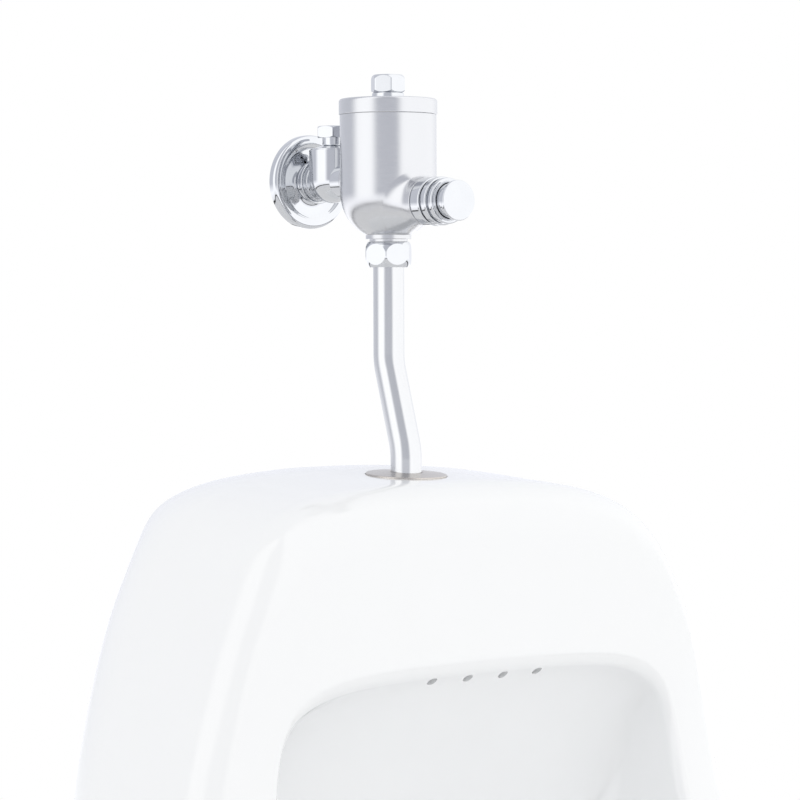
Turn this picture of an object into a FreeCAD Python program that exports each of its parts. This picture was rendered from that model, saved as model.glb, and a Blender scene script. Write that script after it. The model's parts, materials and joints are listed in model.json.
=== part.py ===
import FreeCAD, Part
import math
import os

# Wall-hung urinal with an exposed push-button flush valve, in millimetres.
# X runs to the right seen from the room, Y runs into the wall, Z runs up. The wall is the plane
# y = 0, and the origin is midway between the two holes of the wall hangers.
# "drop" is a distance below the top of the china, "reach" a distance from the valve axis
# towards the room, and "level" a height above the china under the pipe flange.

V = FreeCAD.Vector
UP = V(0, 0, 1)
DOWN = V(0, 0, -1)
TO_WALL = V(0, 1, 0)
TO_ROOM = V(0, -1, 0)

# ---- china -----------------------------------------------------------------------------------
china_width = 374.0
china_height = 520.0
china_depth = 322.0
china_wall = 9.0
china_top = 95.0                # top of the china above the hanger holes
top_slope = 0.06                # fall of the top towards the room, per mm of depth
rear_taper = 22.0               # how far the sides draw in towards the wall
rear_taper_top = 5.0            # the same for the top
rear_taper_depth = 60.0         # depth over which they do
corner_radius = 12.0            # front edge low down
corner_radius_top = 28.0        # front edge at the top
corner_fade = 80.0              # drop over which one becomes the other
front_crown = 18.0              # how far the front falls back at crown_half_width
crown_half_width = 150.0
crown_drop = 180.0              # drop at which the crown is full
rim_radius = 7.0                # edge of the bowl opening

# Half outlines seen from the room, as (distance from the middle, drop), from the top middle
# round to the bottom middle. All three run in step, point for point.
front_outline = ((0, 0), (46, 1), (113, 14), (145, 52), (163, 97), (182, 177),
                 (187, 255), (180, 335), (144, 408), (82, 446), (0, 454))
wall_outline = ((0, 0), (46, 1), (113, 14), (145, 52), (163, 97), (182, 177),
                (186, 255), (174, 345), (135, 440), (75, 500), (0, 520))
bowl_outline = ((0, 103), (48, 104), (95, 109), (124, 124), (134, 150), (138, 190),
                (141, 250), (130, 316), (97, 372), (50, 399), (0, 405))
# How far the front stands from the wall, as (drop, distance).
front_profile = ((0, 150), (98, 164.5), (180, 178), (300, 235), (454, 322))

# ---- bowl outlet and waste -------------------------------------------------------------------
outlet_to_wall = 150.0
outlet_drop = 442.0
outlet_recess_radius = 36.0
outlet_boss_radius = 42.0
outlet_boss_thickness = 16.0
outlet_hole_radius = 25.0
trap_notch_width = 108.0
waste_thread_radius = 23.9      # G 1 1/2
waste_bore_radius = 20.0
waste_flange_radius = 34.0
waste_flange_thickness = 3.0
waste_tail_length = 72.0
waste_seal_thickness = 3.0
waste_relief_depth = 0.9        # groove that ends the thread's upper stretch below the locknut
waste_relief_width = 2.0
waste_relief_gap = 1.0
locknut_height = 9.0
locknut_across_flats = 60.0
strainer_radius = 26.0
strainer_thickness = 1.5
strainer_hole_radius = 3.0
strainer_holes = 12
strainer_hole_circle = 19.0
strainer_screw_radius = 2.5
strainer_screw_length = 14.0

# ---- wall hangers ----------------------------------------------------------------------------
hanger_spacing = 200.0
hanger_hole_radius = 4.25
hanger_width = 32.0
hanger_thickness = 3.0
hanger_above_hole = 14.0
hanger_below_hole = 48.0        # down to the underside of the arm
hanger_arm_reach = 24.0
hanger_lip_height = 15.0
ledge_height = 30.0
ledge_width = 72.0
ledge_to_wall = 5.0
ledge_depth = 27.0
ledge_slack = 2.0               # room for the hook's lip in its slot

# ---- water way in the china ------------------------------------------------------------------
inlet_hole_radius = 17.0
inlet_seat_depth = 0.6
inlet_counterbore_radius = 20.5
inlet_counterbore_depth = 2.5
spreader_half_width = 62.0
spreader_front_to_wall = 143.0
spreader_back_to_wall = 70.0
spreader_roof_drop = 18.0
spreader_floor_drop = 99.0
spreader_wall = 9.0
rinse_hole_radius = 4.0
rinse_hole_spacing = 24.0
rinse_holes = 4
rinse_hole_to_wall = 157.0
rinse_hole_drop = 112.0
rinse_hole_start_to_wall = 136.0
rinse_hole_start_drop = 95.0

# ---- flush pipe ------------------------------------------------------------------------------
pipe_radius = 8.5
pipe_wall = 1.0
pipe_offset = 15.0              # how far the pipe comes forward between its two bends
pipe_upper_bend_level = 62.0
pipe_lower_bend_level = 14.0
pipe_bend_radius = 32.0
pipe_into_china = 44.0
pipe_collar_radius = 10.2
pipe_collar_thickness = 1.5
pipe_clearance = 0.35
pipe_flange_radius = 22.3
pipe_flange_thickness = 2.4
pipe_flange_edge = 1.0
seal_cone_length = 24.0
seal_cone_end_radius = 13.0

# ---- flush valve body ------------------------------------------------------------------------
valve_to_wall = 75.0
body_radius = 26.5
body_wall = 4.0
body_height = 42.5              # from the centre of the round bottom up to the lid
neck_bottom_level = 119.0
neck_height = 9.5               # below the round bottom
neck_radius = 10.48             # G 1/2
neck_bore_radius = 7.5
neck_bore_height = 15.0         # from there up the bore is as wide as the seat
neck_ring_rise = 1.0            # how far the ring starts above the lowest point of the body
neck_ring_radius = 11.6
barrel_radius = 12.5            # the inner tube that leads down from the valve seat
barrel_bore_radius = 9.0
barrel_rise = 5.0               # how far it stands above the centre of the round bottom
seat_height = 2.0
thread_gap = 0.1                # radial room in a screwed joint
slide_gap = 0.3                 # radial room between parts that move past each other
seal_gap = 0.05                 # radial room of a running seal
outlet_nut_height = 14.0
outlet_nut_across_flats = 24.0
outlet_nut_floor = 2.0
gasket_thickness = 1.5

# ---- lid, cap and volume screw ---------------------------------------------------------------
lid_radius = 27.0
lid_height = 8.6
lid_edge = 1.6
lid_skirt_depth = 6.0
lid_thread_radius = 24.4
lid_seal_thickness = 1.5
cap_across_flats = 17.0
cap_neck_radius = 8.75
cap_neck_height = 3.6
cap_hex_height = 9.5
cap_dome = 1.2
hub_radius = 6.6
hub_height = 4.4
hub_bore_radius = 5.2
screw_pocket_floor = 3.6        # thickness of the lid under the screw's seal
screw_radius = 3.0
screw_head_radius = 4.9
screw_head_height = 4.0
screw_tip_depth = 3.5           # how far its tip hangs below the lid
screw_seal_thickness = 1.4
screw_travel = 2.0
screw_end_gap = 0.6
slot_width = 1.2
slot_depth = 1.6

# ---- piston ----------------------------------------------------------------------------------
piston_bore_radius = 5.5
piston_spigot_radius = 7.0
piston_disc_radius = 11.6
piston_disc_thickness = 3.0
piston_foot_thickness = 2.5
piston_stem_radius = 8.0
piston_stem_height = 6.5
piston_head_thickness = 3.0
piston_cup_thickness = 3.0
piston_hub_radius = 14.0
piston_hub_height = 0.5         # hub above the cup seal
bypass_radius = 0.6             # the fine hole that refills the chamber above the piston
bypass_to_axis = 17.5
piston_spring_radius = 9.5
piston_spring_wire = 1.2
piston_spring_turns = 5
relief_radius = 8.0
relief_thickness = 2.0
relief_seal_thickness = 1.2
relief_rod_radius = 2.0
relief_rod_overhang = 9.0       # how far the rod hangs below the button's axis

# ---- button ----------------------------------------------------------------------------------
button_drop = 6.0               # below the centre of the round bottom
boss_radius = 12.9
boss_flare_radius = 18.0
boss_flare_end = 31.0
boss_shoulder = 34.5
boss_thread_radius = 11.2
boss_end = 41.0
boss_bore_radius = 10.3
boss_floor = 30.0
gland_radius = 7.0
gland_start = 25.0
stem_tube_radius = 5.5          # the tube that carries the stem across to the barrel
collar_radius = 13.15
collar_end = 43.2
collar_groove_depth = 1.1
collar_groove_width = 1.3
collar_lip = 1.6
button_radius = 9.5
button_face_radius = 10.9
button_face_thickness = 2.2
button_face_reach = 61.5
button_foot_thickness = 1.2
button_bore_radius = 7.4
button_crown_thickness = 3.3
button_hub_radius = 3.6
button_hub_height = 4.0
stem_radius = 2.0
stem_to_rod = 0.5               # gap between the stem's tip and the relief valve's rod
stem_seal_thickness = 1.8
stem_seal_radius = 4.4
button_spring_radius = 5.3
button_spring_wire = 0.8
button_spring_turns = 7

# ---- stop valve and wall rosette -------------------------------------------------------------
supply_rise = 8.0               # height of the wall tail above the centre of the round bottom
supply_boss_radius = 11.0
supply_boss_reach = 31.5        # how far it stands behind the valve axis
supply_port_radius = 6.0
tail_radius = 10.48             # G 1/2
tail_into_wall = 14.0
tail_shank_radius = 10.3        # the plain stretch that the rosette slides on
tail_thread_gap = 1.0           # how far short of the wall's face the thread stops
tail_ring_start = 9.0
tail_ring_width = 2.3
tail_ring_gap = 1.6
tail_ring_radius = 12.5
tail_second_ring_radius = 11.6
stop_to_wall = 24.5
stop_radius = 13.4
stop_foot = 12.5                # how far the round foot hangs below the tail's axis
stop_floor = 4.0
stop_neck_radius = 9.6
stop_thread_radius = 8.2
stop_hollow_radius = 7.0
stop_hollow_height = 7.5
stop_partition = 2.0
stop_seat_radius = 4.2
stop_chamber_radius = 9.0
stop_chamber_height = 6.5
stop_roof_thickness = 9.8
stop_inlet_radius = 4.2
stop_inlet_drop = 5.0           # below the tail's axis
stop_outlet_radius = 3.1
stop_outlet_rise = 4.3          # above it
stop_bore_radius = 4.4
stop_hub_radius = 6.6
stop_hub_height = 1.8
stop_disc_radius = 6.2
stop_disc_thickness = 2.0
spindle_radius = 3.2
spindle_neck = 5.5              # slim stretch between the disc and the seal
spindle_seal_thickness = 1.4
spindle_stand_out = 2.9         # how far its head stands above the body
stop_cap_flare = 2.3
stop_cap_neck_radius = 5.9
stop_cap_neck_height = 4.4
stop_cap_hex_height = 6.6
stop_cap_bore_radius = 4.5
stop_cap_roof = 2.5
rosette_radius = 26.5
rosette_depth = 5.8
rosette_sheet = 1.0
union_seal_thickness = 1.5

# ---- places worked out from the sizes above --------------------------------------------------
half_width = china_width / 2
inlet_to_wall = valve_to_wall + pipe_offset
valve_y = -valve_to_wall
inlet_y = -inlet_to_wall
stop_y = -stop_to_wall
body_centre_level = neck_bottom_level + neck_height + body_radius
body_seam_level = body_centre_level + body_height
barrel_top_level = body_centre_level + barrel_rise
button_level = body_centre_level - button_drop
supply_level = body_centre_level + supply_rise
seat_z = china_top - top_slope * inlet_to_wall - inlet_seat_depth


def z_of_drop(drop):
    return china_top - drop


def z_of_level(level):
    return seat_z + level


# ---- shapes ----------------------------------------------------------------------------------
def placed(shape, base, axis):
    """Turn a shape drawn about Z so that Z becomes the axis, and put its origin at base."""
    shape.Placement = FreeCAD.Placement(base, FreeCAD.Rotation(UP, axis)).multiply(shape.Placement)
    return shape


def turned(profile, base, axis=UP):
    """A solid of revolution from a closed outline of (radius, height) points."""
    points = [V(radius, 0, height) for radius, height in profile]
    face = Part.Face(Part.makePolygon(points + [points[0]]))
    return placed(face.revolve(V(0, 0, 0), UP, 360), base, axis)


def rod(radius, length, base, axis=UP):
    return placed(Part.makeCylinder(radius, length), base, axis)


def ring(outer, inner, length, base, axis=UP):
    return rod(outer, length, base, axis).cut(rod(inner, length, base, axis))


def hexagon(across_flats, height, base, axis=UP, dome=0.0, foot=0.0):
    """A hexagon with flats to left and right, its corners chamfered above and below."""
    corner = across_flats / math.sqrt(3)
    points = [V(corner * math.sin(math.radians(60 * i)), corner * math.cos(math.radians(60 * i)), 0)
              for i in range(7)]
    prism = placed(Part.Face(Part.makePolygon(points)).extrude(V(0, 0, height)), base, axis)
    flat = across_flats / 2 * 0.96
    outline = [(0, 0), (flat if foot else corner + 1, 0), (corner + 1, foot)]
    outline += [(corner + 1, height - dome), (flat, height), (0, height)]
    if not foot:
        outline.pop(2)
    return prism.common(turned(outline, base, axis))


def box(low, high):
    return Part.makeBox(high[0] - low[0], high[1] - low[1], high[2] - low[2], V(*low))


def arc_to(start, direction, end):
    """The arc that leaves start in a direction and ends at end."""
    chord = end - start
    along = V(chord).normalize()
    bulge = V(direction - along * direction.dot(along)).normalize()
    middle = (start + end) * 0.5 + bulge * (chord.Length / 2 * math.tan(direction.getAngle(chord) / 2))
    return Part.Arc(start, middle, end).toShape()


def two_arcs(start, leaving, end, arriving):
    """A pair of tangent arcs from one point and direction to another."""
    chord = end - start
    both = leaving + arriving
    share = 2 * (1 - leaving.dot(arriving))
    root = math.sqrt(chord.dot(both) ** 2 + share * chord.dot(chord))
    reach = (root - chord.dot(both)) / share
    joint = (start + end + (leaving - arriving) * reach) * 0.5
    return [arc_to(start, leaving, joint), arc_to(end, arriving * -1, joint)]


def coil(radius, wire, turns, base, length, axis=UP):
    """A compression spring: round wire round the axis, standing on base and as tall as length."""
    halves = 2 * turns
    rise = (length - wire) / halves
    slope = rise / math.pi

    def place(half):
        side = math.cos(math.pi * half)
        return V(radius * side, 0, wire / 2 + rise * half), V(0, radius * side, slope).normalize()

    edges = []
    for half in range(halves):
        edges += two_arcs(*place(half), *place(half + 1))
    start, direction = place(0)
    path = Part.Wire(Part.sortEdges(edges)[0])
    section = Part.Wire(Part.makeCircle(wire / 2, start, direction))
    return placed(path.makePipeShell([section], True, False), base, axis)


def bent_path(points, radius):
    """Straight runs through the points, joined by tangent arcs of one radius."""
    edges = []
    start = points[0]
    for before, corner, after in zip(points, points[1:], points[2:]):
        arriving = V(corner - before).normalize()
        leaving = V(after - corner).normalize()
        turn = arriving.getAngle(leaving)
        cut_back = radius * math.tan(turn / 2)
        first = corner - arriving * cut_back
        last = corner + leaving * cut_back
        inward = V(leaving - arriving).normalize()
        middle = corner + inward * (radius / math.cos(turn / 2) - radius)
        edges.append(Part.makeLine(start, first))
        edges.append(Part.Arc(first, middle, last).toShape())
        start = last
    edges.append(Part.makeLine(start, points[-1]))
    return Part.Wire(edges)


def swept(path, radius):
    """Round bar along a path that starts downwards."""
    start = path.Edges[0].Vertexes[0].Point
    section = Part.Wire(Part.makeCircle(radius, start, UP))
    return path.makePipeShell([section], True, False)


def mirrored(shape):
    return shape.mirror(V(0, 0, 0), V(1, 0, 0))


# ---- china skin ------------------------------------------------------------------------------
COLUMNS = 19                    # lines of the skin from the top middle to the bottom middle


def outline_curve(outline, widest, deepest):
    """A smooth curve through a half outline, level at both ends, scaled to the china's size."""
    wide = half_width / widest
    tall = china_height / deepest
    points = [V(across * wide, drop * tall, 0) for across, drop in outline]
    steps = [i / (len(points) - 1) for i in range(len(points))]
    spans = len(points) - 1
    curve = Part.BSplineCurve()
    curve.interpolate(Points=points, Parameters=steps, InitialTangent=V(points[1].x * spans, 0, 0),
                      FinalTangent=V(-points[-2].x * spans, 0, 0), Scale=False)
    return curve


def front_distance():
    """The distance of the front from the wall, as a smooth curve over the drop."""
    deep = china_depth / front_profile[-1][1]
    tall = china_height / wall_outline[-1][1]
    points = [V(drop * tall, distance * deep, 0) for drop, distance in front_profile]
    curve = Part.BSplineCurve()
    curve.interpolate(Points=points, Parameters=[p.x for p in points])
    return curve


def blend(first, second, share):
    return first + (second - first) * share


def bezier(points, share):
    """A point on a cubic Bezier curve."""
    rest = 1 - share
    weights = (rest ** 3, 3 * rest ** 2 * share, 3 * rest * share ** 2, share ** 3)
    total = V(0, 0, 0)
    for point, weight in zip(points, weights):
        total += point * weight
    return total


def rounded(before, corner, after, steps):
    """Points round a corner, on a curve close to a circle's quarter."""
    handle = 0.5523
    points = (before, blend(before, corner, handle), blend(after, corner, handle), after)
    return [bezier(points, step / steps) for step in range(steps + 1)]


def skin_line(share, curves, inset):
    """One line of the skin, from the wall round the front edge and down the bowl to its outlet.

    share runs from 0 at the top middle to 1 at the bottom middle, and inset draws the skin
    into the china by that much, for the inner faces of the shell.
    """
    front_curve, wall_curve, bowl_curve, distance = curves
    along = front_curve.tangent(share)[0]
    outward = V(-along.y, along.x, 0) * -1
    top_weight = max(-outward.y, 0)
    at_front = front_curve.value(share) - outward * inset
    at_wall = wall_curve.value(share) - outward * inset
    opening = bowl_curve.value(share) + outward * inset

    def front_y(point):
        crown = front_crown * (point.x / crown_half_width) ** 2
        crown *= min(max(point.y, 0), crown_drop) / crown_drop
        drop = min(max(point.y, distance.FirstParameter), distance.LastParameter)
        return -(distance.value(drop).y - crown - inset)

    def in_space(point, y):
        return V(point.x, y, z_of_drop(point.y - top_slope * y * top_weight))

    corner = in_space(at_front, front_y(at_front))
    edge = V(opening.x, front_y(opening), z_of_drop(opening.y))
    across = edge - corner
    fade = math.exp(-max(at_front.y, 0) / corner_fade)
    radius = corner_radius + (corner_radius_top - corner_radius) * fade - inset
    radius = min(max(radius, 2.0), 0.45 * across.Length)

    taper = rear_taper * abs(outward.x) + rear_taper_top * top_weight
    start_y = inset / 4
    side_end = corner.y + radius
    line = []
    for step in range(9):
        y = start_y + (side_end - start_y) * step / 8
        swing = (step / 8) ** 2 * (3 - 2 * step / 8)
        drawn_in = taper * max(1 + y / rear_taper_depth, 0) ** 2
        line.append(in_space(blend(at_wall, at_front, swing) - outward * drawn_in, y))
    after_corner = corner + across.normalize() * radius
    line += rounded(line[-1], corner, after_corner, 4)[1:]

    turn = math.pi * share
    top = max(math.cos(turn), 0) ** 2
    low = max(-math.cos(turn), 0) ** 2
    side = math.sin(turn) ** 2
    into_bowl = V(-outward.x * 8 * side, 50 * top + 95 * side + 45 * low,
                  -(40 * top + 25 * side + 28 * low))
    round_ring = V(math.sin(turn), math.cos(turn), 0)
    ring_centre = V(0, -outlet_to_wall, z_of_drop(outlet_drop + inset))
    at_ring = ring_centre + round_ring * (outlet_recess_radius + inset)
    spread = 64 * top + 42 * side + 45 * low
    before_ring = at_ring + round_ring * spread + UP * (95 * top + 14 * side + 3 * low)
    shift = V(0, inset * (top + side) * 0.8, 0)
    softness = min(rim_radius + inset / 2, (edge - after_corner).Length * 0.45)
    before_edge = edge - (edge - after_corner).normalize() * softness
    into = V(into_bowl).normalize()
    after_edge = edge + into * softness
    line.append(blend(after_corner, before_edge, 0.5))
    line += rounded(before_edge, edge, after_edge, 4)
    bowl = (after_edge, edge + into_bowl + shift, before_ring + shift, at_ring)
    line += [bezier(bowl, step / 12) for step in range(1, 13)]
    return line


def square_to_middle(surface):
    """Make a skin meet the middle plane exactly and square to it, so that its mirror joins on."""
    poles = surface.getPoles()
    last = len(poles)
    for edge, neighbour in ((1, 2), (last, last - 1)):
        for row, pole in enumerate(poles[edge - 1], start=1):
            beside = poles[neighbour - 1][row - 1]
            surface.setPole(edge, row, V(0, pole.y, pole.z))
            surface.setPole(neighbour, row, V(beside.x, pole.y, pole.z))


def china_form(inset):
    """The closed form bounded by the skin, the outlet's floor and the wall."""
    widest = max(across for across, drop in front_outline)
    deepest = wall_outline[-1][1]
    curves = [outline_curve(outline, widest, deepest)
              for outline in (front_outline, wall_outline, bowl_outline)]
    curves.append(front_distance())
    grid = [skin_line(column / (COLUMNS - 1), curves, inset) for column in range(COLUMNS)]
    surface = Part.BSplineSurface()
    surface.interpolate(grid)
    square_to_middle(surface)
    right = surface.toShape()
    left = mirrored(right)
    halves = [right, left]
    faces = list(halves)
    for at_wall in (True, False):
        rims = []
        for half in halves:
            ends = [edge for edge in half.Edges if edge.Vertexes[0].Point.x ** 2 < 1e-6
                    and edge.Vertexes[-1].Point.x ** 2 < 1e-6]
            ends.sort(key=lambda edge: edge.BoundBox.YMax - edge.BoundBox.YLength)
            level = [edge for edge in ends
                     if (edge.BoundBox.YLength if at_wall else edge.BoundBox.ZLength) < 1e-3]
            rims.append(level[0])
        faces.append(Part.Face(Part.Wire(Part.sortEdges(rims)[0])))
    shell = Part.makeShell(faces)
    shell.sewShape()
    form = Part.makeSolid(shell)
    if form.Volume < 0:
        form.reverse()
    return form


# ---- places on the axes ----------------------------------------------------------------------
def on_valve(level):
    return V(0, valve_y, z_of_level(level))


def on_inlet(level):
    return V(0, inlet_y, z_of_level(level))


def on_stop(level):
    return V(0, stop_y, z_of_level(level))


def on_button(reach):
    return V(0, valve_y - reach, z_of_level(button_level))


def on_tail(distance):
    return V(0, -distance, z_of_level(supply_level))


def on_outlet(drop):
    return V(0, -outlet_to_wall, z_of_drop(drop))


INLET_AXIS = V(0, -top_slope, 1).normalize()
INLET_DOWN = INLET_AXIS * -1

# ---- china -----------------------------------------------------------------------------------
ledge_bottom = -(hanger_below_hole - hanger_thickness)
outlet_boss_drop = outlet_drop + outlet_boss_thickness


def hanging_ledge():
    """The cast ledge that stands on one hanger's arm, without its slot."""
    middle = hanger_spacing / 2
    return box((middle - ledge_width / 2, -ledge_to_wall - ledge_depth, ledge_bottom),
               (china_width, -ledge_to_wall, ledge_bottom + ledge_height))


def hook_slot():
    """The slot in a ledge that the hook's lip stands in."""
    middle = hanger_spacing / 2
    wide = hanger_width / 2 + ledge_slack
    back = -hanger_arm_reach + hanger_thickness + ledge_slack
    front = -hanger_arm_reach - ledge_slack
    tall = hanger_lip_height + ledge_slack
    return box((middle - wide, front, ledge_bottom - 1), (middle + wide, back, ledge_bottom + tall))


def spreader_block():
    """The china round the water chamber, which reaches from behind the front to near the wall."""
    wide = spreader_half_width + spreader_wall
    return box((-wide, -china_depth, z_of_drop(spreader_floor_drop) - spreader_wall),
               (wide, -spreader_back_to_wall + spreader_wall, china_top + 1))


def spreader_chamber():
    return box((-spreader_half_width, -spreader_front_to_wall, z_of_drop(spreader_floor_drop)),
               (spreader_half_width, -spreader_back_to_wall, z_of_drop(spreader_roof_drop)))


def rinse_row():
    """The slanted holes from the chamber to the top of the bowl."""
    start = V(0, -rinse_hole_start_to_wall, z_of_drop(rinse_hole_start_drop))
    mouth = V(0, -rinse_hole_to_wall, z_of_drop(rinse_hole_drop))
    run = mouth - start
    holes = []
    for index in range(rinse_holes):
        across = V((index - (rinse_holes - 1) / 2) * rinse_hole_spacing, 0, 0)
        holes.append(rod(rinse_hole_radius, run.Length * 1.6, start + across, run))
    return holes


def trap_notch():
    """The way for the trap: a round-ended slot up from below, open to the wall."""
    bottom = z_of_drop(china_height) - 1
    top = z_of_drop(outlet_boss_drop)
    half = trap_notch_width / 2
    round_end = rod(half, top - bottom, on_outlet(outlet_boss_drop), DOWN)
    return round_end.fuse(box((-half, -outlet_to_wall, bottom), (half, 1, top)))


def inlet_hole():
    """The hole for the flush pipe, with its counterbore and the flat spot under the flange."""
    seat = on_inlet(0)
    length = china_top - z_of_drop(spreader_roof_drop) + 4
    flat_spot = rod(pipe_flange_radius + 0.4, 12, seat, INLET_AXIS)
    return flat_spot.fuse([rod(inlet_counterbore_radius, inlet_counterbore_depth, seat, INLET_DOWN),
                           rod(inlet_hole_radius, length, seat, INLET_DOWN)])


def urinal_bowl():
    ledge = hanging_ledge()
    outlet_boss = rod(outlet_boss_radius, outlet_boss_thickness + 2, on_outlet(outlet_drop - 2),
                      DOWN)
    hollow = china_form(china_wall).cut([spreader_block(), outlet_boss, ledge, mirrored(ledge)])
    outlet = rod(outlet_hole_radius, outlet_boss_thickness + 2, on_outlet(outlet_drop - 1), DOWN)
    slot = hook_slot()
    return china_form(0.0).cut([hollow, spreader_chamber(), slot, mirrored(slot), trap_notch(),
                                inlet_hole(), outlet] + rinse_row())


# ---- wall hangers ----------------------------------------------------------------------------
def hanger_right():
    """A flat steel hook: plate on the wall, arm under the ledge and lip up into its slot."""
    middle = hanger_spacing / 2
    left = middle - hanger_width / 2
    right = middle + hanger_width / 2
    plate = box((left, -hanger_thickness, -hanger_below_hole), (right, 0, hanger_above_hole))
    arm = box((left, -hanger_arm_reach, -hanger_below_hole),
              (right, 0, -hanger_below_hole + hanger_thickness))
    lip = box((left, -hanger_arm_reach, -hanger_below_hole),
              (right, -hanger_arm_reach + hanger_thickness,
               -hanger_below_hole + hanger_thickness + hanger_lip_height))
    hole = rod(hanger_hole_radius, hanger_thickness + 2, V(middle, 1, 0), TO_ROOM)
    hook = plate.fuse([arm, lip]).cut(hole).removeSplitter()
    corners = [edge for edge in hook.Edges
               if abs(edge.BoundBox.YLength - hanger_thickness) < 0.01
               and edge.BoundBox.ZMin > hanger_above_hole - 0.01]
    return hook.makeFillet(hanger_width / 4, corners)


def hanger_left():
    return mirrored(hanger_right())


# ---- waste -----------------------------------------------------------------------------------
flange_z = z_of_drop(outlet_drop) + waste_seal_thickness
strainer_recess = strainer_thickness + 0.3
strainer_floor = flange_z + waste_flange_thickness - strainer_recess
bridge_width = 7.0
bridge_height = 9.0


def waste_body():
    base = V(0, -outlet_to_wall, flange_z)
    end = -(waste_tail_length - waste_seal_thickness)
    groove_radius = waste_thread_radius - waste_relief_depth
    groove_top = -(outlet_boss_thickness + 2 * waste_seal_thickness + locknut_height
                   + waste_relief_gap)
    groove_bottom = groove_top - waste_relief_width
    profile = [(waste_bore_radius, end), (waste_thread_radius, end),
               (waste_thread_radius, groove_bottom), (groove_radius, groove_bottom),
               (groove_radius, groove_top), (waste_thread_radius, groove_top),
               (waste_thread_radius, 0),
               (waste_flange_radius, 0), (waste_flange_radius, waste_flange_thickness * 0.4),
               (waste_flange_radius - 2, waste_flange_thickness),
               (strainer_radius + 0.4, waste_flange_thickness),
               (strainer_radius + 0.4, waste_flange_thickness - strainer_recess),
               (waste_bore_radius, waste_flange_thickness - strainer_recess)]
    bridge = box((-waste_bore_radius - 1, -outlet_to_wall - bridge_width / 2,
                  strainer_floor - bridge_height),
                 (waste_bore_radius + 1, -outlet_to_wall + bridge_width / 2, strainer_floor))
    hole = rod(strainer_screw_radius, bridge_height, V(0, -outlet_to_wall, strainer_floor), DOWN)
    return turned(profile, base).fuse(bridge).cut(hole).removeSplitter()


def waste_strainer():
    base = V(0, -outlet_to_wall, strainer_floor)
    plate = rod(strainer_radius, strainer_thickness, base)
    holes = [rod(strainer_screw_radius, strainer_thickness, base)]
    for circle, count in ((strainer_hole_circle, strainer_holes),
                          (strainer_hole_circle / 2 + 1, strainer_holes // 2)):
        for index in range(count):
            angle = 2 * math.pi * (index + 0.5) / count
            offset = V(circle * math.cos(angle), circle * math.sin(angle), 0)
            holes.append(rod(strainer_hole_radius, strainer_thickness, base + offset))
    return plate.cut(holes)


def strainer_screw():
    head = strainer_floor + strainer_thickness
    shank = strainer_screw_length
    profile = [(0, -shank + 1), (strainer_screw_radius - 0.6, -shank + 1),
               (strainer_screw_radius - 0.05, -shank + 1.6), (strainer_screw_radius - 0.05, 0),
               (strainer_screw_radius * 2, 0), (strainer_screw_radius * 1.7, 1.4), (0, 2)]
    screw = turned(profile, V(0, -outlet_to_wall, head))
    slot = box((-9, -outlet_to_wall - slot_width / 2, head + 0.9),
               (9, -outlet_to_wall + slot_width / 2, head + 3))
    return screw.cut(slot)


def waste_seal_top():
    return ring(waste_flange_radius - 1, waste_thread_radius + slide_gap, waste_seal_thickness,
                on_outlet(outlet_drop))


def waste_seal_bottom():
    return ring(waste_flange_radius - 1, waste_thread_radius + slide_gap, waste_seal_thickness,
                on_outlet(outlet_boss_drop), DOWN)


def waste_locknut():
    top = on_outlet(outlet_boss_drop + waste_seal_thickness)
    nut = hexagon(locknut_across_flats, locknut_height, top, DOWN, dome=2.0)
    return nut.cut(rod(waste_thread_radius + thread_gap, locknut_height, top, DOWN))


# ---- flush pipe ------------------------------------------------------------------------------
pipe_top_level = neck_bottom_level - gasket_thickness


def flush_pipe():
    path = bent_path([on_valve(pipe_top_level), on_valve(pipe_upper_bend_level),
                      on_inlet(pipe_lower_bend_level), on_inlet(-pipe_into_china)],
                     pipe_bend_radius)
    collar = ring(pipe_collar_radius, pipe_radius - pipe_wall, pipe_collar_thickness,
                  on_valve(pipe_top_level), DOWN)
    tube = swept(path, pipe_radius).cut(swept(path, pipe_radius - pipe_wall))
    return tube.fuse(collar).removeSplitter()


def pipe_flange():
    edge = pipe_flange_edge
    profile = [(0, 0), (pipe_flange_radius, 0), (pipe_flange_radius, edge * 0.5),
               (pipe_flange_radius - edge * 0.3, edge), (pipe_flange_radius - edge, edge * 1.4),
               (pipe_radius + 3, pipe_flange_thickness), (0, pipe_flange_thickness)]
    plate = turned(profile, on_inlet(0), INLET_AXIS)
    return plate.cut(rod(pipe_radius + pipe_clearance, 12, on_inlet(-4)))


def inlet_seal():
    lip = inlet_counterbore_depth
    profile = [(0, 0), (inlet_counterbore_radius - 0.2, 0), (inlet_counterbore_radius - 0.2, -lip),
               (inlet_hole_radius - 0.1, -lip), (seal_cone_end_radius, -lip - seal_cone_length),
               (0, -lip - seal_cone_length)]
    cone = turned(profile, on_inlet(0), INLET_AXIS)
    return cone.cut(rod(pipe_radius, pipe_into_china + 4, on_inlet(2), DOWN))


def pipe_gasket():
    return ring(pipe_collar_radius, neck_bore_radius, gasket_thickness, on_valve(pipe_top_level))


def outlet_nut():
    bottom = pipe_top_level - pipe_collar_thickness - outlet_nut_floor
    base = on_valve(bottom)
    nut = hexagon(outlet_nut_across_flats, outlet_nut_height, base, dome=2.2, foot=2.2)
    through = rod(pipe_radius + pipe_clearance, outlet_nut_height, base)
    thread = rod(neck_radius + thread_gap, outlet_nut_height, on_valve(bottom + outlet_nut_floor))
    return nut.cut([through, thread])


# ---- flush valve body ------------------------------------------------------------------------
body_bore_radius = body_radius - body_wall
lid_skirt_level = body_seam_level - lid_skirt_depth
lid_ledge_level = lid_skirt_level - lid_seal_thickness
lid_bore_radius = lid_thread_radius + thread_gap
supply_bore_end = body_bore_radius + 3
barrel_foot_level = neck_bottom_level + neck_bore_height
neck_ring_level = neck_bottom_level + neck_height + neck_ring_rise


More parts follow.
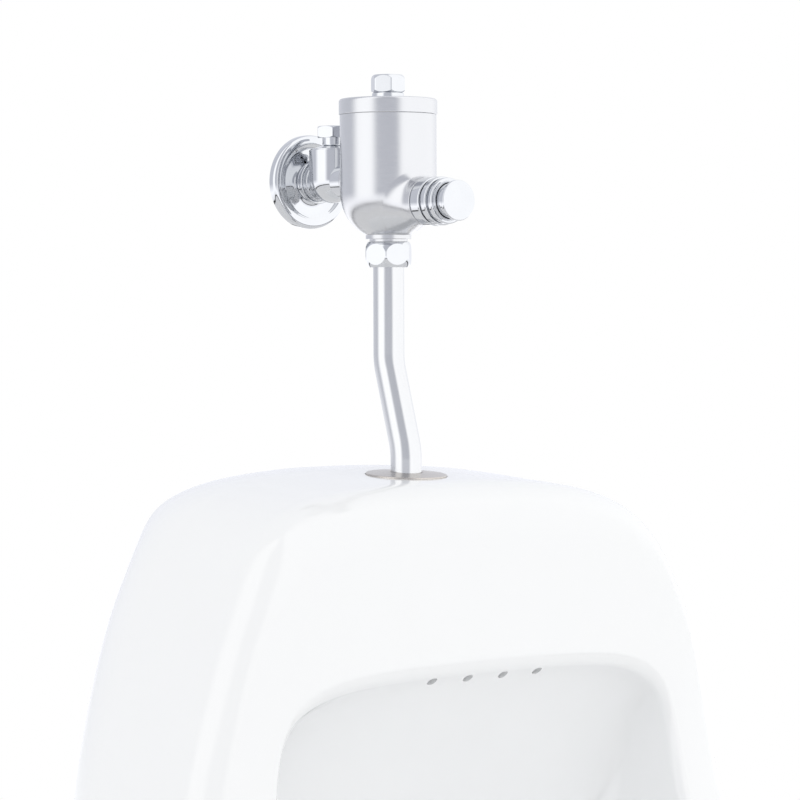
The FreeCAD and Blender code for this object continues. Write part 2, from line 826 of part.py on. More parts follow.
def cup(radius, top_level):
    """A cylinder with a round bottom, the form of the body outside and inside."""
    centre = on_valve(body_centre_level)
    bottom = Part.makeSphere(radius, centre, UP, -90, 0, 360)
    return rod(radius, top_level - body_centre_level, centre).fuse(bottom)


def button_boss():
    """The boss for the button, flared where it grows out of the body."""
    profile = [(0, 0), (boss_flare_radius, 0), (boss_flare_radius, 2)]
    steps = 6
    start = body_radius - 6
    for step in range(1, steps + 1):
        angle = math.pi / 2 * step / steps
        profile.append((boss_flare_radius - (boss_flare_radius - boss_radius) * math.sin(angle),
                        boss_flare_end - start - (boss_flare_end - start - 2) * math.cos(angle)))
    profile += [(boss_radius, boss_shoulder - start), (boss_thread_radius, boss_shoulder - start),
                (boss_thread_radius, boss_end - start), (0, boss_end - start)]
    return turned(profile, on_button(start), TO_ROOM)


def supply_boss():
    """The socket at the back that the stop valve screws into."""
    return rod(supply_boss_radius, supply_boss_reach, V(0, valve_y, z_of_level(supply_level)),
               TO_WALL)


def valve_body():
    outside = cup(body_radius, body_seam_level)
    neck = rod(neck_radius, body_centre_level - neck_bottom_level, on_valve(neck_bottom_level))
    neck_ring = rod(neck_ring_radius, body_centre_level - neck_ring_level,
                    on_valve(neck_ring_level))
    solid = outside.fuse([neck, neck_ring, button_boss(), supply_boss()])
    shell = solid.cut([cup(body_bore_radius, body_seam_level),
                       rod(lid_bore_radius, body_seam_level - lid_ledge_level,
                           on_valve(lid_ledge_level))])
    barrel_bottom = body_centre_level - body_radius + 1
    barrel = rod(barrel_radius, barrel_top_level - barrel_bottom, on_valve(barrel_bottom))
    stem_tube = rod(stem_tube_radius, gland_start - barrel_bore_radius,
                    on_button(barrel_bore_radius), TO_ROOM)
    water_way = turned([(0, neck_bottom_level), (neck_bore_radius, neck_bottom_level),
                        (neck_bore_radius, barrel_foot_level - 2),
                        (barrel_bore_radius, barrel_foot_level),
                        (barrel_bore_radius, barrel_top_level), (0, barrel_top_level)], on_valve(0))
    socket = V(0, valve_y + supply_bore_end, z_of_level(supply_level))
    port = V(0, valve_y + barrel_radius, z_of_level(supply_level))
    shell = shell.fuse([barrel, stem_tube])
    return shell.cut([water_way,
                      rod(boss_bore_radius, boss_end - boss_floor, on_button(boss_floor), TO_ROOM),
                      rod(gland_radius, boss_floor - gland_start, on_button(gland_start), TO_ROOM),
                      rod(stem_radius + slide_gap, gland_start, on_button(0), TO_ROOM),
                      rod(supply_port_radius, supply_bore_end - barrel_radius, port, TO_WALL),
                      rod(stop_thread_radius + thread_gap, supply_boss_reach - supply_bore_end,
                          socket, TO_WALL)]).removeSplitter()


def valve_seat():
    bore = barrel_bore_radius
    profile = [(bore, 0), (barrel_radius, 0), (barrel_radius, seat_height * 0.4),
               (barrel_radius - 1.2, seat_height), (bore + 0.6, seat_height),
               (bore, seat_height - 0.6)]
    return turned(profile, on_valve(barrel_top_level))


# ---- lid, cap and volume screw ---------------------------------------------------------------
lid_top_level = body_seam_level + lid_height
cap_hex_level = lid_top_level + cap_neck_height
screw_tip_level = body_seam_level - screw_tip_depth
screw_seal_low_level = body_seam_level + screw_pocket_floor
screw_head_level = screw_seal_low_level + screw_travel + screw_end_gap + screw_seal_thickness


def valve_lid():
    base = on_valve(body_seam_level)
    skirt_inner = lid_thread_radius - 3.5
    screw_hole = screw_radius + seal_gap
    profile = [(screw_hole, 0), (skirt_inner, 0), (skirt_inner, -lid_skirt_depth),
               (lid_thread_radius, -lid_skirt_depth), (lid_thread_radius, 0.0),
               (lid_radius - 0.4, 0.0), (lid_radius, 0.4)]
    steps = 4
    for step in range(steps + 1):
        angle = math.pi / 2 * step / steps
        profile.append((lid_radius - lid_edge * (1 - math.cos(angle)),
                        lid_height - lid_edge * (1 - math.sin(angle))))
    profile += [(hub_radius, lid_height), (hub_radius, lid_height + hub_height),
                (hub_bore_radius, lid_height + hub_height),
                (hub_bore_radius, screw_pocket_floor), (screw_hole, screw_pocket_floor)]
    return turned(profile, base)


def lid_seal():
    return ring(lid_thread_radius - 0.1, body_bore_radius + 0.2, lid_seal_thickness,
                on_valve(lid_ledge_level))


def lid_cap():
    base = on_valve(lid_top_level)
    neck = rod(cap_neck_radius, cap_neck_height, base)
    head = hexagon(cap_across_flats, cap_hex_height, on_valve(cap_hex_level), dome=cap_dome)
    thread = rod(hub_radius + thread_gap, hub_height + 0.3, base)
    hollow = rod(hub_bore_radius + 0.2, cap_neck_height + cap_hex_height - 3, base)
    return neck.fuse(head).cut([thread, hollow]).removeSplitter()


def slotted_screw(tip, head, top, shank_radius, head_radius, place):
    """A screw with a screwdriver slot, its levels given for tip, head and top."""
    profile = [(0, tip), (shank_radius - 0.5, tip), (shank_radius, tip + 0.5),
               (shank_radius, head), (head_radius, head), (head_radius, top - 0.4),
               (head_radius - 0.4, top), (0, top)]
    screw = turned(profile, place(0))
    slot = box((-head_radius, -slot_width / 2, -slot_depth), (head_radius, slot_width / 2, 1))
    slot.translate(place(top))
    return screw.cut(slot)


def volume_screw():
    return slotted_screw(screw_tip_level, screw_head_level, screw_head_level + screw_head_height,
                         screw_radius, screw_head_radius, on_valve)


def volume_screw_seal():
    return ring(hub_bore_radius - seal_gap, screw_radius + seal_gap, screw_seal_thickness,
                on_valve(screw_head_level - screw_seal_thickness))


# ---- piston ----------------------------------------------------------------------------------
disc_level = barrel_top_level + seat_height
foot_level = disc_level + piston_disc_thickness
foot_top_level = foot_level + piston_foot_thickness
piston_head_level = foot_top_level + piston_stem_height
cup_level = piston_head_level + piston_head_thickness
piston_top_level = cup_level + piston_cup_thickness + piston_hub_height
relief_level = piston_top_level + relief_seal_thickness
relief_rod_end_level = button_level - relief_rod_overhang


def bypass_hole():
    start = on_valve(piston_head_level - 2) + V(bypass_to_axis, 0, 0)
    return rod(bypass_radius, piston_top_level - piston_head_level + 2, start)


def piston():
    head_radius = body_bore_radius - slide_gap
    foot_radius = piston_disc_radius - 0.2
    profile = [(piston_bore_radius, disc_level + 0.5), (piston_spigot_radius, disc_level + 0.5),
               (piston_spigot_radius, foot_level), (foot_radius, foot_level),
               (foot_radius, foot_top_level), (piston_stem_radius, foot_top_level + 1.5),
               (piston_stem_radius, piston_head_level - 1.5), (head_radius, piston_head_level),
               (head_radius, cup_level), (piston_hub_radius, cup_level),
               (piston_hub_radius, piston_top_level), (piston_bore_radius, piston_top_level)]
    return turned(profile, on_valve(0)).cut(bypass_hole())


def piston_cup():
    """A lip seal: a flat ring with a lip that opens towards the pressure above it."""
    outer = body_bore_radius - seal_gap
    profile = [(piston_hub_radius, cup_level), (outer - 1, cup_level), (outer, cup_level + 0.8),
               (outer, cup_level + piston_cup_thickness),
               (outer - 1.2, cup_level + piston_cup_thickness), (outer - 2.4, cup_level + 1.4),
               (piston_hub_radius, cup_level + 1.4)]
    return turned(profile, on_valve(0)).cut(bypass_hole())


def piston_disc():
    return ring(piston_disc_radius, piston_spigot_radius, piston_disc_thickness,
                on_valve(disc_level))


def piston_spring():
    return coil(piston_spring_radius, piston_spring_wire, piston_spring_turns,
                on_valve(piston_top_level), body_seam_level - piston_top_level)


def relief_valve():
    """A disc on top of the piston, with a rod down its bore that the button's stem tilts."""
    top = relief_level + relief_thickness
    profile = [(0, relief_rod_end_level), (relief_rod_radius - 0.5, relief_rod_end_level),
               (relief_rod_radius, relief_rod_end_level + 0.5), (relief_rod_radius, relief_level),
               (relief_radius, relief_level), (relief_radius, top - 0.5),
               (relief_radius - 0.5, top), (0, top)]
    return turned(profile, on_valve(0))


def relief_seal():
    return ring(relief_radius, piston_bore_radius, relief_seal_thickness,
                on_valve(piston_top_level))


# ---- button ----------------------------------------------------------------------------------
button_face_start = button_face_reach - button_face_thickness
button_crown_reach = button_face_start - button_crown_thickness
collar_lip_reach = collar_end - collar_lip
button_foot_reach = collar_lip_reach - button_foot_thickness
stem_tip_reach = relief_rod_radius + stem_to_rod


def button_collar():
    bore = boss_thread_radius + thread_gap
    floor = collar_radius - collar_groove_depth
    profile = [(bore, boss_shoulder), (collar_radius, boss_shoulder)]
    start = boss_shoulder + collar_groove_width
    for _ in range(2):
        end = start + collar_groove_width
        profile += [(collar_radius, start), (floor, start), (floor, end), (collar_radius, end)]
        start = end + collar_groove_width
    profile += [(collar_radius, collar_end - 1.2), (collar_radius - 1.2, collar_end),
                (button_radius + slide_gap, collar_end),
                (button_radius + slide_gap, collar_lip_reach), (bore, collar_lip_reach)]
    return turned(profile, on_button(0), TO_ROOM)


def button_cap():
    """The pressed piece: its foot is wider, so that the collar's lip holds it in."""
    rim = 0.5
    foot_radius = boss_bore_radius - slide_gap
    profile = [(button_bore_radius, button_foot_reach), (foot_radius, button_foot_reach),
               (foot_radius, collar_lip_reach), (button_radius, collar_lip_reach),
               (button_radius, button_face_start), (button_face_radius - rim, button_face_start),
               (button_face_radius, button_face_start + rim),
               (button_face_radius, button_face_reach - rim),
               (button_face_radius - rim, button_face_reach), (0, button_face_reach),
               (0, button_crown_reach), (stem_radius, button_crown_reach),
               (stem_radius, button_crown_reach - button_hub_height),
               (button_hub_radius, button_crown_reach - button_hub_height),
               (button_hub_radius, button_crown_reach), (button_bore_radius, button_crown_reach)]
    return turned(profile, on_button(0), TO_ROOM)


def button_stem():
    profile = [(0, stem_tip_reach), (stem_radius - 0.6, stem_tip_reach),
               (stem_radius, stem_tip_reach + 0.6), (stem_radius, button_crown_reach),
               (0, button_crown_reach)]
    return turned(profile, on_button(0), TO_ROOM)


def stem_gland():
    outer = gland_radius - seal_gap
    bore = stem_radius + seal_gap
    pocket = boss_floor - stem_seal_thickness
    profile = [(bore, gland_start), (outer, gland_start), (outer, boss_floor),
               (stem_seal_radius + seal_gap, boss_floor), (stem_seal_radius + seal_gap, pocket),
               (bore, pocket)]
    return turned(profile, on_button(0), TO_ROOM)


def stem_seal():
    return ring(stem_seal_radius, stem_radius + seal_gap, stem_seal_thickness,
                on_button(boss_floor - stem_seal_thickness), TO_ROOM)


def button_spring():
    return coil(button_spring_radius, button_spring_wire, button_spring_turns,
                on_button(boss_floor), button_crown_reach - boss_floor, TO_ROOM)


# ---- stop valve and wall rosette -------------------------------------------------------------
stop_bottom_level = supply_level - stop_foot
stop_hollow_level = stop_bottom_level + stop_floor
stop_partition_level = stop_hollow_level + stop_hollow_height
stop_seat_level = stop_partition_level + stop_partition
stop_chamber_roof = stop_seat_level + stop_chamber_height
stop_top_level = stop_chamber_roof + stop_roof_thickness
stop_thread_end = valve_to_wall - supply_bore_end - union_seal_thickness
stop_boss_end = valve_to_wall - supply_boss_reach
stop_hub_level = stop_top_level + stop_hub_height
stop_cap_hex_level = stop_top_level + stop_cap_flare + stop_cap_neck_height
spindle_seal_level = stop_chamber_roof + spindle_neck


def stop_body():
    round_centre = stop_bottom_level + stop_radius
    thread = rod(tail_radius, tail_into_wall - tail_thread_gap, on_tail(-tail_into_wall), TO_ROOM)
    first_end = tail_ring_start + tail_ring_width
    second_start = first_end + tail_ring_gap
    parts = [
        rod(tail_shank_radius, stop_to_wall + tail_thread_gap, on_tail(-tail_thread_gap), TO_ROOM),
        rod(stop_radius, stop_top_level - round_centre, on_stop(round_centre)),
        Part.makeSphere(stop_radius, on_stop(round_centre), UP, -90, 0, 360),
        rod(stop_hub_radius, stop_hub_level - stop_top_level, on_stop(stop_top_level)),
        rod(tail_ring_radius, tail_ring_width, on_tail(tail_ring_start), TO_ROOM),
        rod(tail_second_ring_radius, tail_ring_width, on_tail(second_start), TO_ROOM),
        rod(stop_neck_radius, stop_boss_end - stop_to_wall, on_tail(stop_to_wall), TO_ROOM),
        rod(stop_thread_radius, stop_thread_end - stop_to_wall, on_tail(stop_to_wall), TO_ROOM),
    ]
    inlet = V(0, tail_into_wall, z_of_level(supply_level - stop_inlet_drop))
    outlet = V(0, stop_y, z_of_level(supply_level + stop_outlet_rise))
    return thread.fuse(parts).cut([
        rod(stop_inlet_radius, tail_into_wall + stop_to_wall, inlet, TO_ROOM),
        rod(stop_outlet_radius, stop_thread_end - stop_to_wall, outlet, TO_ROOM),
        rod(stop_hollow_radius, stop_hollow_height, on_stop(stop_hollow_level)),
        rod(stop_seat_radius, stop_partition, on_stop(stop_partition_level)),
        rod(stop_chamber_radius, stop_chamber_height, on_stop(stop_seat_level)),
        rod(stop_bore_radius, stop_hub_level - stop_chamber_roof, on_stop(stop_chamber_roof)),
    ]).removeSplitter()


def stop_cap():
    thread = stop_hub_radius + thread_gap
    roof = stop_cap_hex_level + stop_cap_hex_height - stop_cap_roof
    flare_top = stop_top_level + stop_cap_flare
    skirt = [(0, stop_top_level), (stop_radius - 0.8, stop_top_level),
             (stop_radius - 0.8, stop_top_level + 0.6), (stop_radius - 4, stop_top_level + 1.4),
             (stop_cap_neck_radius + 0.4, flare_top), (stop_cap_neck_radius, flare_top + 0.6),
             (stop_cap_neck_radius, stop_cap_hex_level), (0, stop_cap_hex_level)]
    head = hexagon(cap_across_flats, stop_cap_hex_height, on_stop(stop_cap_hex_level),
                   dome=cap_dome)
    body = turned(skirt, on_stop(0)).fuse(head)
    return body.cut([rod(thread, stop_hub_height, on_stop(stop_top_level)),
                     rod(stop_cap_bore_radius, roof - stop_top_level, on_stop(stop_top_level))])


def stop_spindle():
    return slotted_screw(stop_chamber_roof, spindle_seal_level + spindle_seal_thickness,
                         stop_hub_level + spindle_stand_out, spindle_radius, stop_bore_radius - seal_gap, on_stop)


def stop_spindle_seal():
    return ring(stop_bore_radius - seal_gap, spindle_radius + seal_gap, spindle_seal_thickness,
                on_stop(spindle_seal_level))


def stop_disc():
    return rod(stop_disc_radius, stop_disc_thickness, on_stop(stop_chamber_roof - stop_disc_thickness))


def union_seal():
    return ring(stop_thread_radius - 0.1, supply_port_radius, union_seal_thickness,
                on_tail(stop_thread_end), TO_ROOM)


def wall_rosette():
    """A domed sheet ring: the same quarter ellipse outside and, one sheet in, inside."""
    hole = tail_radius + pipe_clearance
    steps = 7

    def dome(radius, height, order):
        return [(hole + (radius - hole) * math.cos(math.pi / 2 * step / steps),
                 height * math.sin(math.pi / 2 * step / steps)) for step in order]

    profile = dome(rosette_radius, rosette_depth, range(steps + 1))
    profile += dome(rosette_radius - rosette_sheet, rosette_depth - rosette_sheet,
                    range(steps, -1, -1))
    return turned(profile, on_tail(0), TO_ROOM)


PIECES = (urinal_bowl, hanger_left, hanger_right, waste_body, waste_strainer, strainer_screw,
          waste_seal_top, waste_seal_bottom, waste_locknut, flush_pipe, pipe_flange, inlet_seal,
          pipe_gasket, outlet_nut, valve_body, valve_seat, valve_lid, lid_seal, lid_cap,
          volume_screw, volume_screw_seal, piston, piston_cup, piston_disc, piston_spring,
          relief_valve, relief_seal, button_collar, button_cap, button_stem, stem_gland,
          stem_seal, button_spring, stop_body, stop_cap, stop_spindle, stop_spindle_seal, stop_disc,
          union_seal, wall_rosette)


def main():
    os.makedirs("parts", exist_ok=True)
    for piece in PIECES:
        shape = piece()
        shape.exportStep("parts/" + piece.__name__ + ".step")


main()
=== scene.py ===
"""A wall-hung urinal with an exposed push-button flush valve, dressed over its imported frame."""
import json
import logging
import math
from collections.abc import Callable, Sequence
from dataclasses import dataclass
from enum import Enum

import bmesh
import bpy
import numpy as np
from mathutils import Matrix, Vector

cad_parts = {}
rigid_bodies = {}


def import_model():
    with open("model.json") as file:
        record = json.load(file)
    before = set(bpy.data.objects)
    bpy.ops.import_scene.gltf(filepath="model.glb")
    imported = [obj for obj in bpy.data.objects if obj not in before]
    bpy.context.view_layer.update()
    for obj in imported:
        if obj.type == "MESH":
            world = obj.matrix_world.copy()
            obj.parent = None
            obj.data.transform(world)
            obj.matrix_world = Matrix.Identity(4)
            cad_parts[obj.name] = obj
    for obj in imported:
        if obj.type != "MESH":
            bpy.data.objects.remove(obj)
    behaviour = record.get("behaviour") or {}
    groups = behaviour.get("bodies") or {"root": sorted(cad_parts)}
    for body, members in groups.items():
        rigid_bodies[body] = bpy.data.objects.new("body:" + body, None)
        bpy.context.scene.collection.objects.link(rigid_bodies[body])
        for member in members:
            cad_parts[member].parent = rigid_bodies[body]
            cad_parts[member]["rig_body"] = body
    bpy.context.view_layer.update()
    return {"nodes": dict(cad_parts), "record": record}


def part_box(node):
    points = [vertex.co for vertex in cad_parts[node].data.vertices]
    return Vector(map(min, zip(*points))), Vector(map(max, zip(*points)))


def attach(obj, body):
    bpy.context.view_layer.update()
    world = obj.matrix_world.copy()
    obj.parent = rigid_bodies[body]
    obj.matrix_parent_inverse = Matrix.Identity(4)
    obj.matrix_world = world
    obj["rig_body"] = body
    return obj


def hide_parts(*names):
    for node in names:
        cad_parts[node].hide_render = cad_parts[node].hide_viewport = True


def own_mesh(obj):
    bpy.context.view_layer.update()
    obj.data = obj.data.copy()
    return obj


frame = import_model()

MM = 0.001                      # pieces are drawn in millimetres and stored in metres
LOG = logging.getLogger("urinal")
Point = tuple[float, float, float]


# ---- meshes ----------------------------------------------------------------------------------
class Axis(Enum):
    """The direction in which a turned piece's height runs."""

    UP = (0.0, 0.0, 1.0)
    DOWN = (0.0, 0.0, -1.0)
    TO_ROOM = (0.0, -1.0, 0.0)
    TO_WALL = (0.0, 1.0, 0.0)


class Join(Enum):
    """How one closed form acts on another."""

    ADD = "UNION"
    CUT = "DIFFERENCE"


@dataclass
class Form:
    """A surface: its points in millimetres and its four-sided faces."""

    points: np.ndarray
    faces: np.ndarray

    def mesh_object(self, name: str) -> bpy.types.Object:
        """Make a welded object with its faces outward.

        Args:
            name: The name of the object and its mesh.

        Returns:
            The new object, linked to the scene, with its place in its mesh.
        """
        mesh = bpy.data.meshes.new(name)
        mesh.from_pydata(self.points * MM, [], self.faces.tolist())
        work = bmesh.new()
        work.from_mesh(mesh)
        bmesh.ops.remove_doubles(work, verts=work.verts, dist=0.002 * MM)
        bmesh.ops.dissolve_degenerate(work, edges=work.edges, dist=0.001 * MM)
        bmesh.ops.recalc_face_normals(work, faces=work.faces)
        work.to_mesh(mesh)
        work.free()
        piece = bpy.data.objects.new(name, mesh)
        bpy.context.scene.collection.objects.link(piece)
        return piece


def grid_form(points: np.ndarray, wrap_rows: bool, wrap_columns: bool) -> Form:
    """Join a grid of points into faces, each row to the next and each column to the next.

    Args:
        points: Array of rows x columns x 3, in millimetres.
        wrap_rows: Whether the last row joins on to the first.
        wrap_columns: Whether the last column joins on to the first.

    Returns:
        The surface.
    """
    rows, columns = points.shape[:2]
    row = np.arange(rows if wrap_rows else rows - 1)[:, None]
    column = np.arange(columns if wrap_columns else columns - 1)[None, :]
    next_row = (row + 1) % rows
    next_column = (column + 1) % columns
    corners = (row * columns + column, row * columns + next_column,
               next_row * columns + next_column, next_row * columns + column)
    faces = np.stack(corners, axis=-1).reshape(-1, 4)
    return Form(points.reshape(-1, 3), faces)


def softened(corners: Sequence[Point], closed: bool, steps: int = 5) -> np.ndarray:
    """Round the corners of an outline.

    Each corner gives way to a parabola that leaves and meets its two sides at the corner's own
    softness, so that a softness of 0 keeps it sharp.

    Args:
        corners: (across, along, softness) of each corner.
        closed: Whether the last corner joins on to the first.
        steps: Points on each rounded corner.

    Returns:
        Array of points x 2.
    """
    table = np.array(corners, float)
    place, softness = table[:, :2], table[:, 2:]
    before = np.roll(place, 1, axis=0) - place
    after = np.roll(place, -1, axis=0) - place
    if not closed:
        softness[[0, -1]] = 0.0
    length_before = np.maximum(np.linalg.norm(before, axis=1, keepdims=True), 1e-9)
    length_after = np.maximum(np.linalg.norm(after, axis=1, keepdims=True), 1e-9)
    first = place + before / length_before * np.minimum(softness, length_before / 2)
    last = place + after / length_after * np.minimum(softness, length_after / 2)
    share = np.linspace(0.0, 1.0, steps)[None, :, None]
    curve = ((1 - share) ** 2 * first[:, None] + 2 * share * (1 - share) * place[:, None]
             + share ** 2 * last[:, None])
    return curve.reshape(-1, 2)


def frame_of(axis: Sequence[float]) -> np.ndarray:
    """Work out two directions across an axis.

    Args:
        axis: The axis, of any length.

    Returns:
        The matrix whose rows are the two directions and the axis itself, each 1 long.
    """
    along = np.array(axis, float) / np.linalg.norm(axis)
    across = np.cross((1.0, 0.0, 0.0), along)
    across /= np.linalg.norm(across)
    return np.stack([np.cross(across, along), across, along])


def lathe(corners: Sequence[Point], base: Sequence[float], axis: Axis | Sequence[float] = Axis.UP,
          columns: int = 128, steps: int = 5) -> Form:
    """A solid of revolution: each outline point runs round the axis in a circle.

    Args:
        corners: (radius, height, softness) of the outline's corners. An outline that starts and
            ends at radius 0 is closed by the axis, and any other joins its last corner to its
            first.
        base: Where height 0 stands on the axis, in millimetres.
        axis: The direction of the height.
        columns: Points round each circle.
        steps: Points on each softened corner.

    Returns:
        The closed surface.
    """
    closed = corners[0][0] > 0 or corners[-1][0] > 0
    outline = softened(corners, closed, steps)
    angle = np.linspace(0.0, 2 * math.pi, columns, endpoint=False)
    radius, height = outline[:, 0][:, None], outline[:, 1][:, None]
    local = np.stack([radius * np.cos(angle), radius * np.sin(angle),
                      np.broadcast_to(height, (len(outline), columns))], axis=-1)
    direction = axis.value if isinstance(axis, Axis) else axis
    return grid_form(local @ frame_of(direction) + np.array(base), closed, True)


def rod(radius: float, start: float, end: float, base: Sequence[float],
        axis: Axis | Sequence[float] = Axis.UP, edge: float = 0.0, columns: int = 128) -> Form:
    """A plain round rod.

    Args:
        radius: Its radius.
        start: Height at which it starts.
        end: Height at which it ends.
        base: Where height 0 stands on the axis.
        axis: The direction of the height.
        edge: Softness of the edge at its end.
        columns: Points round it.

    Returns:
        The closed surface.
    """
    corners = [(0, start, 0), (radius, start, 0), (radius, end, edge), (0, end, 0)]
    return lathe(corners, base, axis, columns)


def raised(outline: Sequence[Point], level: float) -> list[Point]:
    """An outline with its heights counted from a level."""
    return [(radius, level + height, softness) for radius, height, softness in outline]


def stepped(start: float, steps: Sequence[tuple[float, float]], base: Sequence[float],
            axis: Axis | Sequence[float] = Axis.UP, level: float = 0.0) -> Form:
    """A round rod whose radius changes in steps, as a drilled hole's does.

    Args:
        start: Height at which it starts.
        steps: (radius, height at which it ends) of each step.
        base: Where height 0 stands on the axis.
        axis: The direction of the height.
        level: What the start and the ends are counted from.

    Returns:
        The closed surface.
    """
    corners = [(0.0, start, 0.0)]
    for radius, end in steps:
        corners += [(radius, corners[-1][1], 0.0), (radius, end, 0.0)]
    corners.append((0.0, corners[-1][1], 0.0))
    return lathe(raised(corners, level), base, axis)


def block(low: Sequence[float], high: Sequence[float], softness: float = 2.0,
          steps: int = 4) -> Form:
    """A box with rounded corners and edges, drawn as a superellipsoid pulled out to the sides.

    A sphere's directions are stretched to the box's core, so that each eighth of the sphere
    becomes one corner of the box.

    Args:
        low: Lowest corner in millimetres.
        high: Highest corner.
        softness: Radius of the edges.
        steps: Points on each quarter turn.

    Returns:
        The closed surface.
    """
    low, high = np.array(low, float), np.array(high, float)
    quarter = np.linspace(0.0, math.pi / 2, steps)
    turn = np.concatenate([quarter + math.pi / 2 * side for side in range(4)])
    rise = np.concatenate([quarter - math.pi / 2, quarter])
    across = np.cos(rise)[:, None]
    sphere = np.stack([across * np.cos(turn), across * np.sin(turn),
                       np.broadcast_to(np.sin(rise)[:, None], (len(rise), len(turn)))], axis=-1)
    side = np.stack([np.where(np.arange(4).repeat(steps) % 3 == 0, 1.0, -1.0),
                     np.where(np.arange(4).repeat(steps) < 2, 1.0, -1.0)], axis=-1)
    core = (high - low) / 2 - softness
    middle = (high + low) / 2
    signs = np.empty(sphere.shape)
    signs[..., :2] = side[None]
    signs[..., 2] = np.where(np.arange(len(rise)) < steps, -1.0, 1.0)[:, None]
    points = middle + signs * core + sphere * softness
    pole = np.ones((1, len(turn), 1))
    bottom = np.array([middle[0], middle[1], low[2]]) * pole
    top = np.array([middle[0], middle[1], high[2]]) * pole
    return grid_form(np.concatenate([bottom, points, top]), False, True)


def mirrored(low: Point, high: Point, softness: float) -> list[Form]:
    """A rounded box and its mirror image across the middle.

    Args:
        low: Lowest corner of the one at +X.
        high: Its highest corner.
        softness: Radius of the edges.

    Returns:
        The one at -X and the one at +X.
    """
    return [block((-high[0], *low[1:]), (-low[0], *high[1:]), softness),
            block(low, high, softness)]


def shaped(base: Form, changes: Sequence[tuple[Join, Form | bpy.types.Object]],
           name: str) -> bpy.types.Object:
    """Add closed shapes to a closed form and cut others out of it, in order.

    Args:
        base: The form to start from.
        changes: What to add or cut. Objects among them are used up.
        name: The name of the piece.

    Returns:
        The piece as one closed mesh.
    """
    piece = base.mesh_object(name)
    rough = piece.data
    tools = []
    for number, (join, shape) in enumerate(changes):
        tool = shape.mesh_object(f"{name}_tool_{number}") if isinstance(shape, Form) else shape
        modifier = piece.modifiers.new(f"{join.name}_{number}", "BOOLEAN")
        modifier.operation = join.value
        modifier.solver = "MANIFOLD"
        modifier.object = tool
        tools.append(tool)
    graph = bpy.context.evaluated_depsgraph_get()
    piece.data = bpy.data.meshes.new_from_object(piece.evaluated_get(graph))
    piece.modifiers.clear()
    bpy.data.meshes.remove(rough)
    piece.data.name = name
    for tool in tools:
        mesh = tool.data
        bpy.data.objects.remove(tool)
        bpy.data.meshes.remove(mesh)
    return piece


def smoothed(piece: bpy.types.Object, crease: float = 32.0, weigh: bool = True) -> bpy.types.Object:
    """Shade a piece smooth, but for the edges that turn by more than an angle.

    Args:
        piece: The piece.
        crease: The angle in degrees.
        weigh: Whether large faces keep their own flatness against the small ones beside them.

    Returns:
        The same piece.
    """
    mesh = piece.data
    mesh.polygons.foreach_set("use_smooth", np.ones(len(mesh.polygons), bool))
    mesh.set_sharp_from_angle(angle=math.radians(crease))
    if weigh:
        modifier = piece.modifiers.new("flat_faces", "WEIGHTED_NORMAL")
        modifier.keep_sharp = True
        modifier.weight = 50
    return piece


# ---- finishes --------------------------------------------------------------------------------
def colour(hex_text: str) -> tuple[float, float, float, float]:
    """Linear colour of an sRGB hex value."""
    srgb = np.array([int(hex_text[start:start + 2], 16) for start in (0, 2, 4)]) / 255.0
    linear = np.where(srgb <= 0.04045, srgb / 12.92, ((srgb + 0.055) / 1.055) ** 2.4)
    return (*(float(value) for value in linear), 1.0)


def add_node(tree: bpy.types.NodeTree, kind: str, inputs: dict | None = None,
             **settings: object) -> bpy.types.Node:
    """Add a shader node.

    Args:
        tree: The node tree.
        kind: Blender's name of the node's type.
        inputs: For each input, by name or number, a value or an output socket to link.
        settings: The node's own properties.

    Returns:
        The node.
    """
    node = tree.nodes.new(kind)
    for name, value in settings.items():
        setattr(node, name, value)
    for key, value in (inputs or {}).items():
        if isinstance(value, bpy.types.NodeSocket):
            tree.links.new(value, node.inputs[key])
        else:
            node.inputs[key].default_value = value
    return node


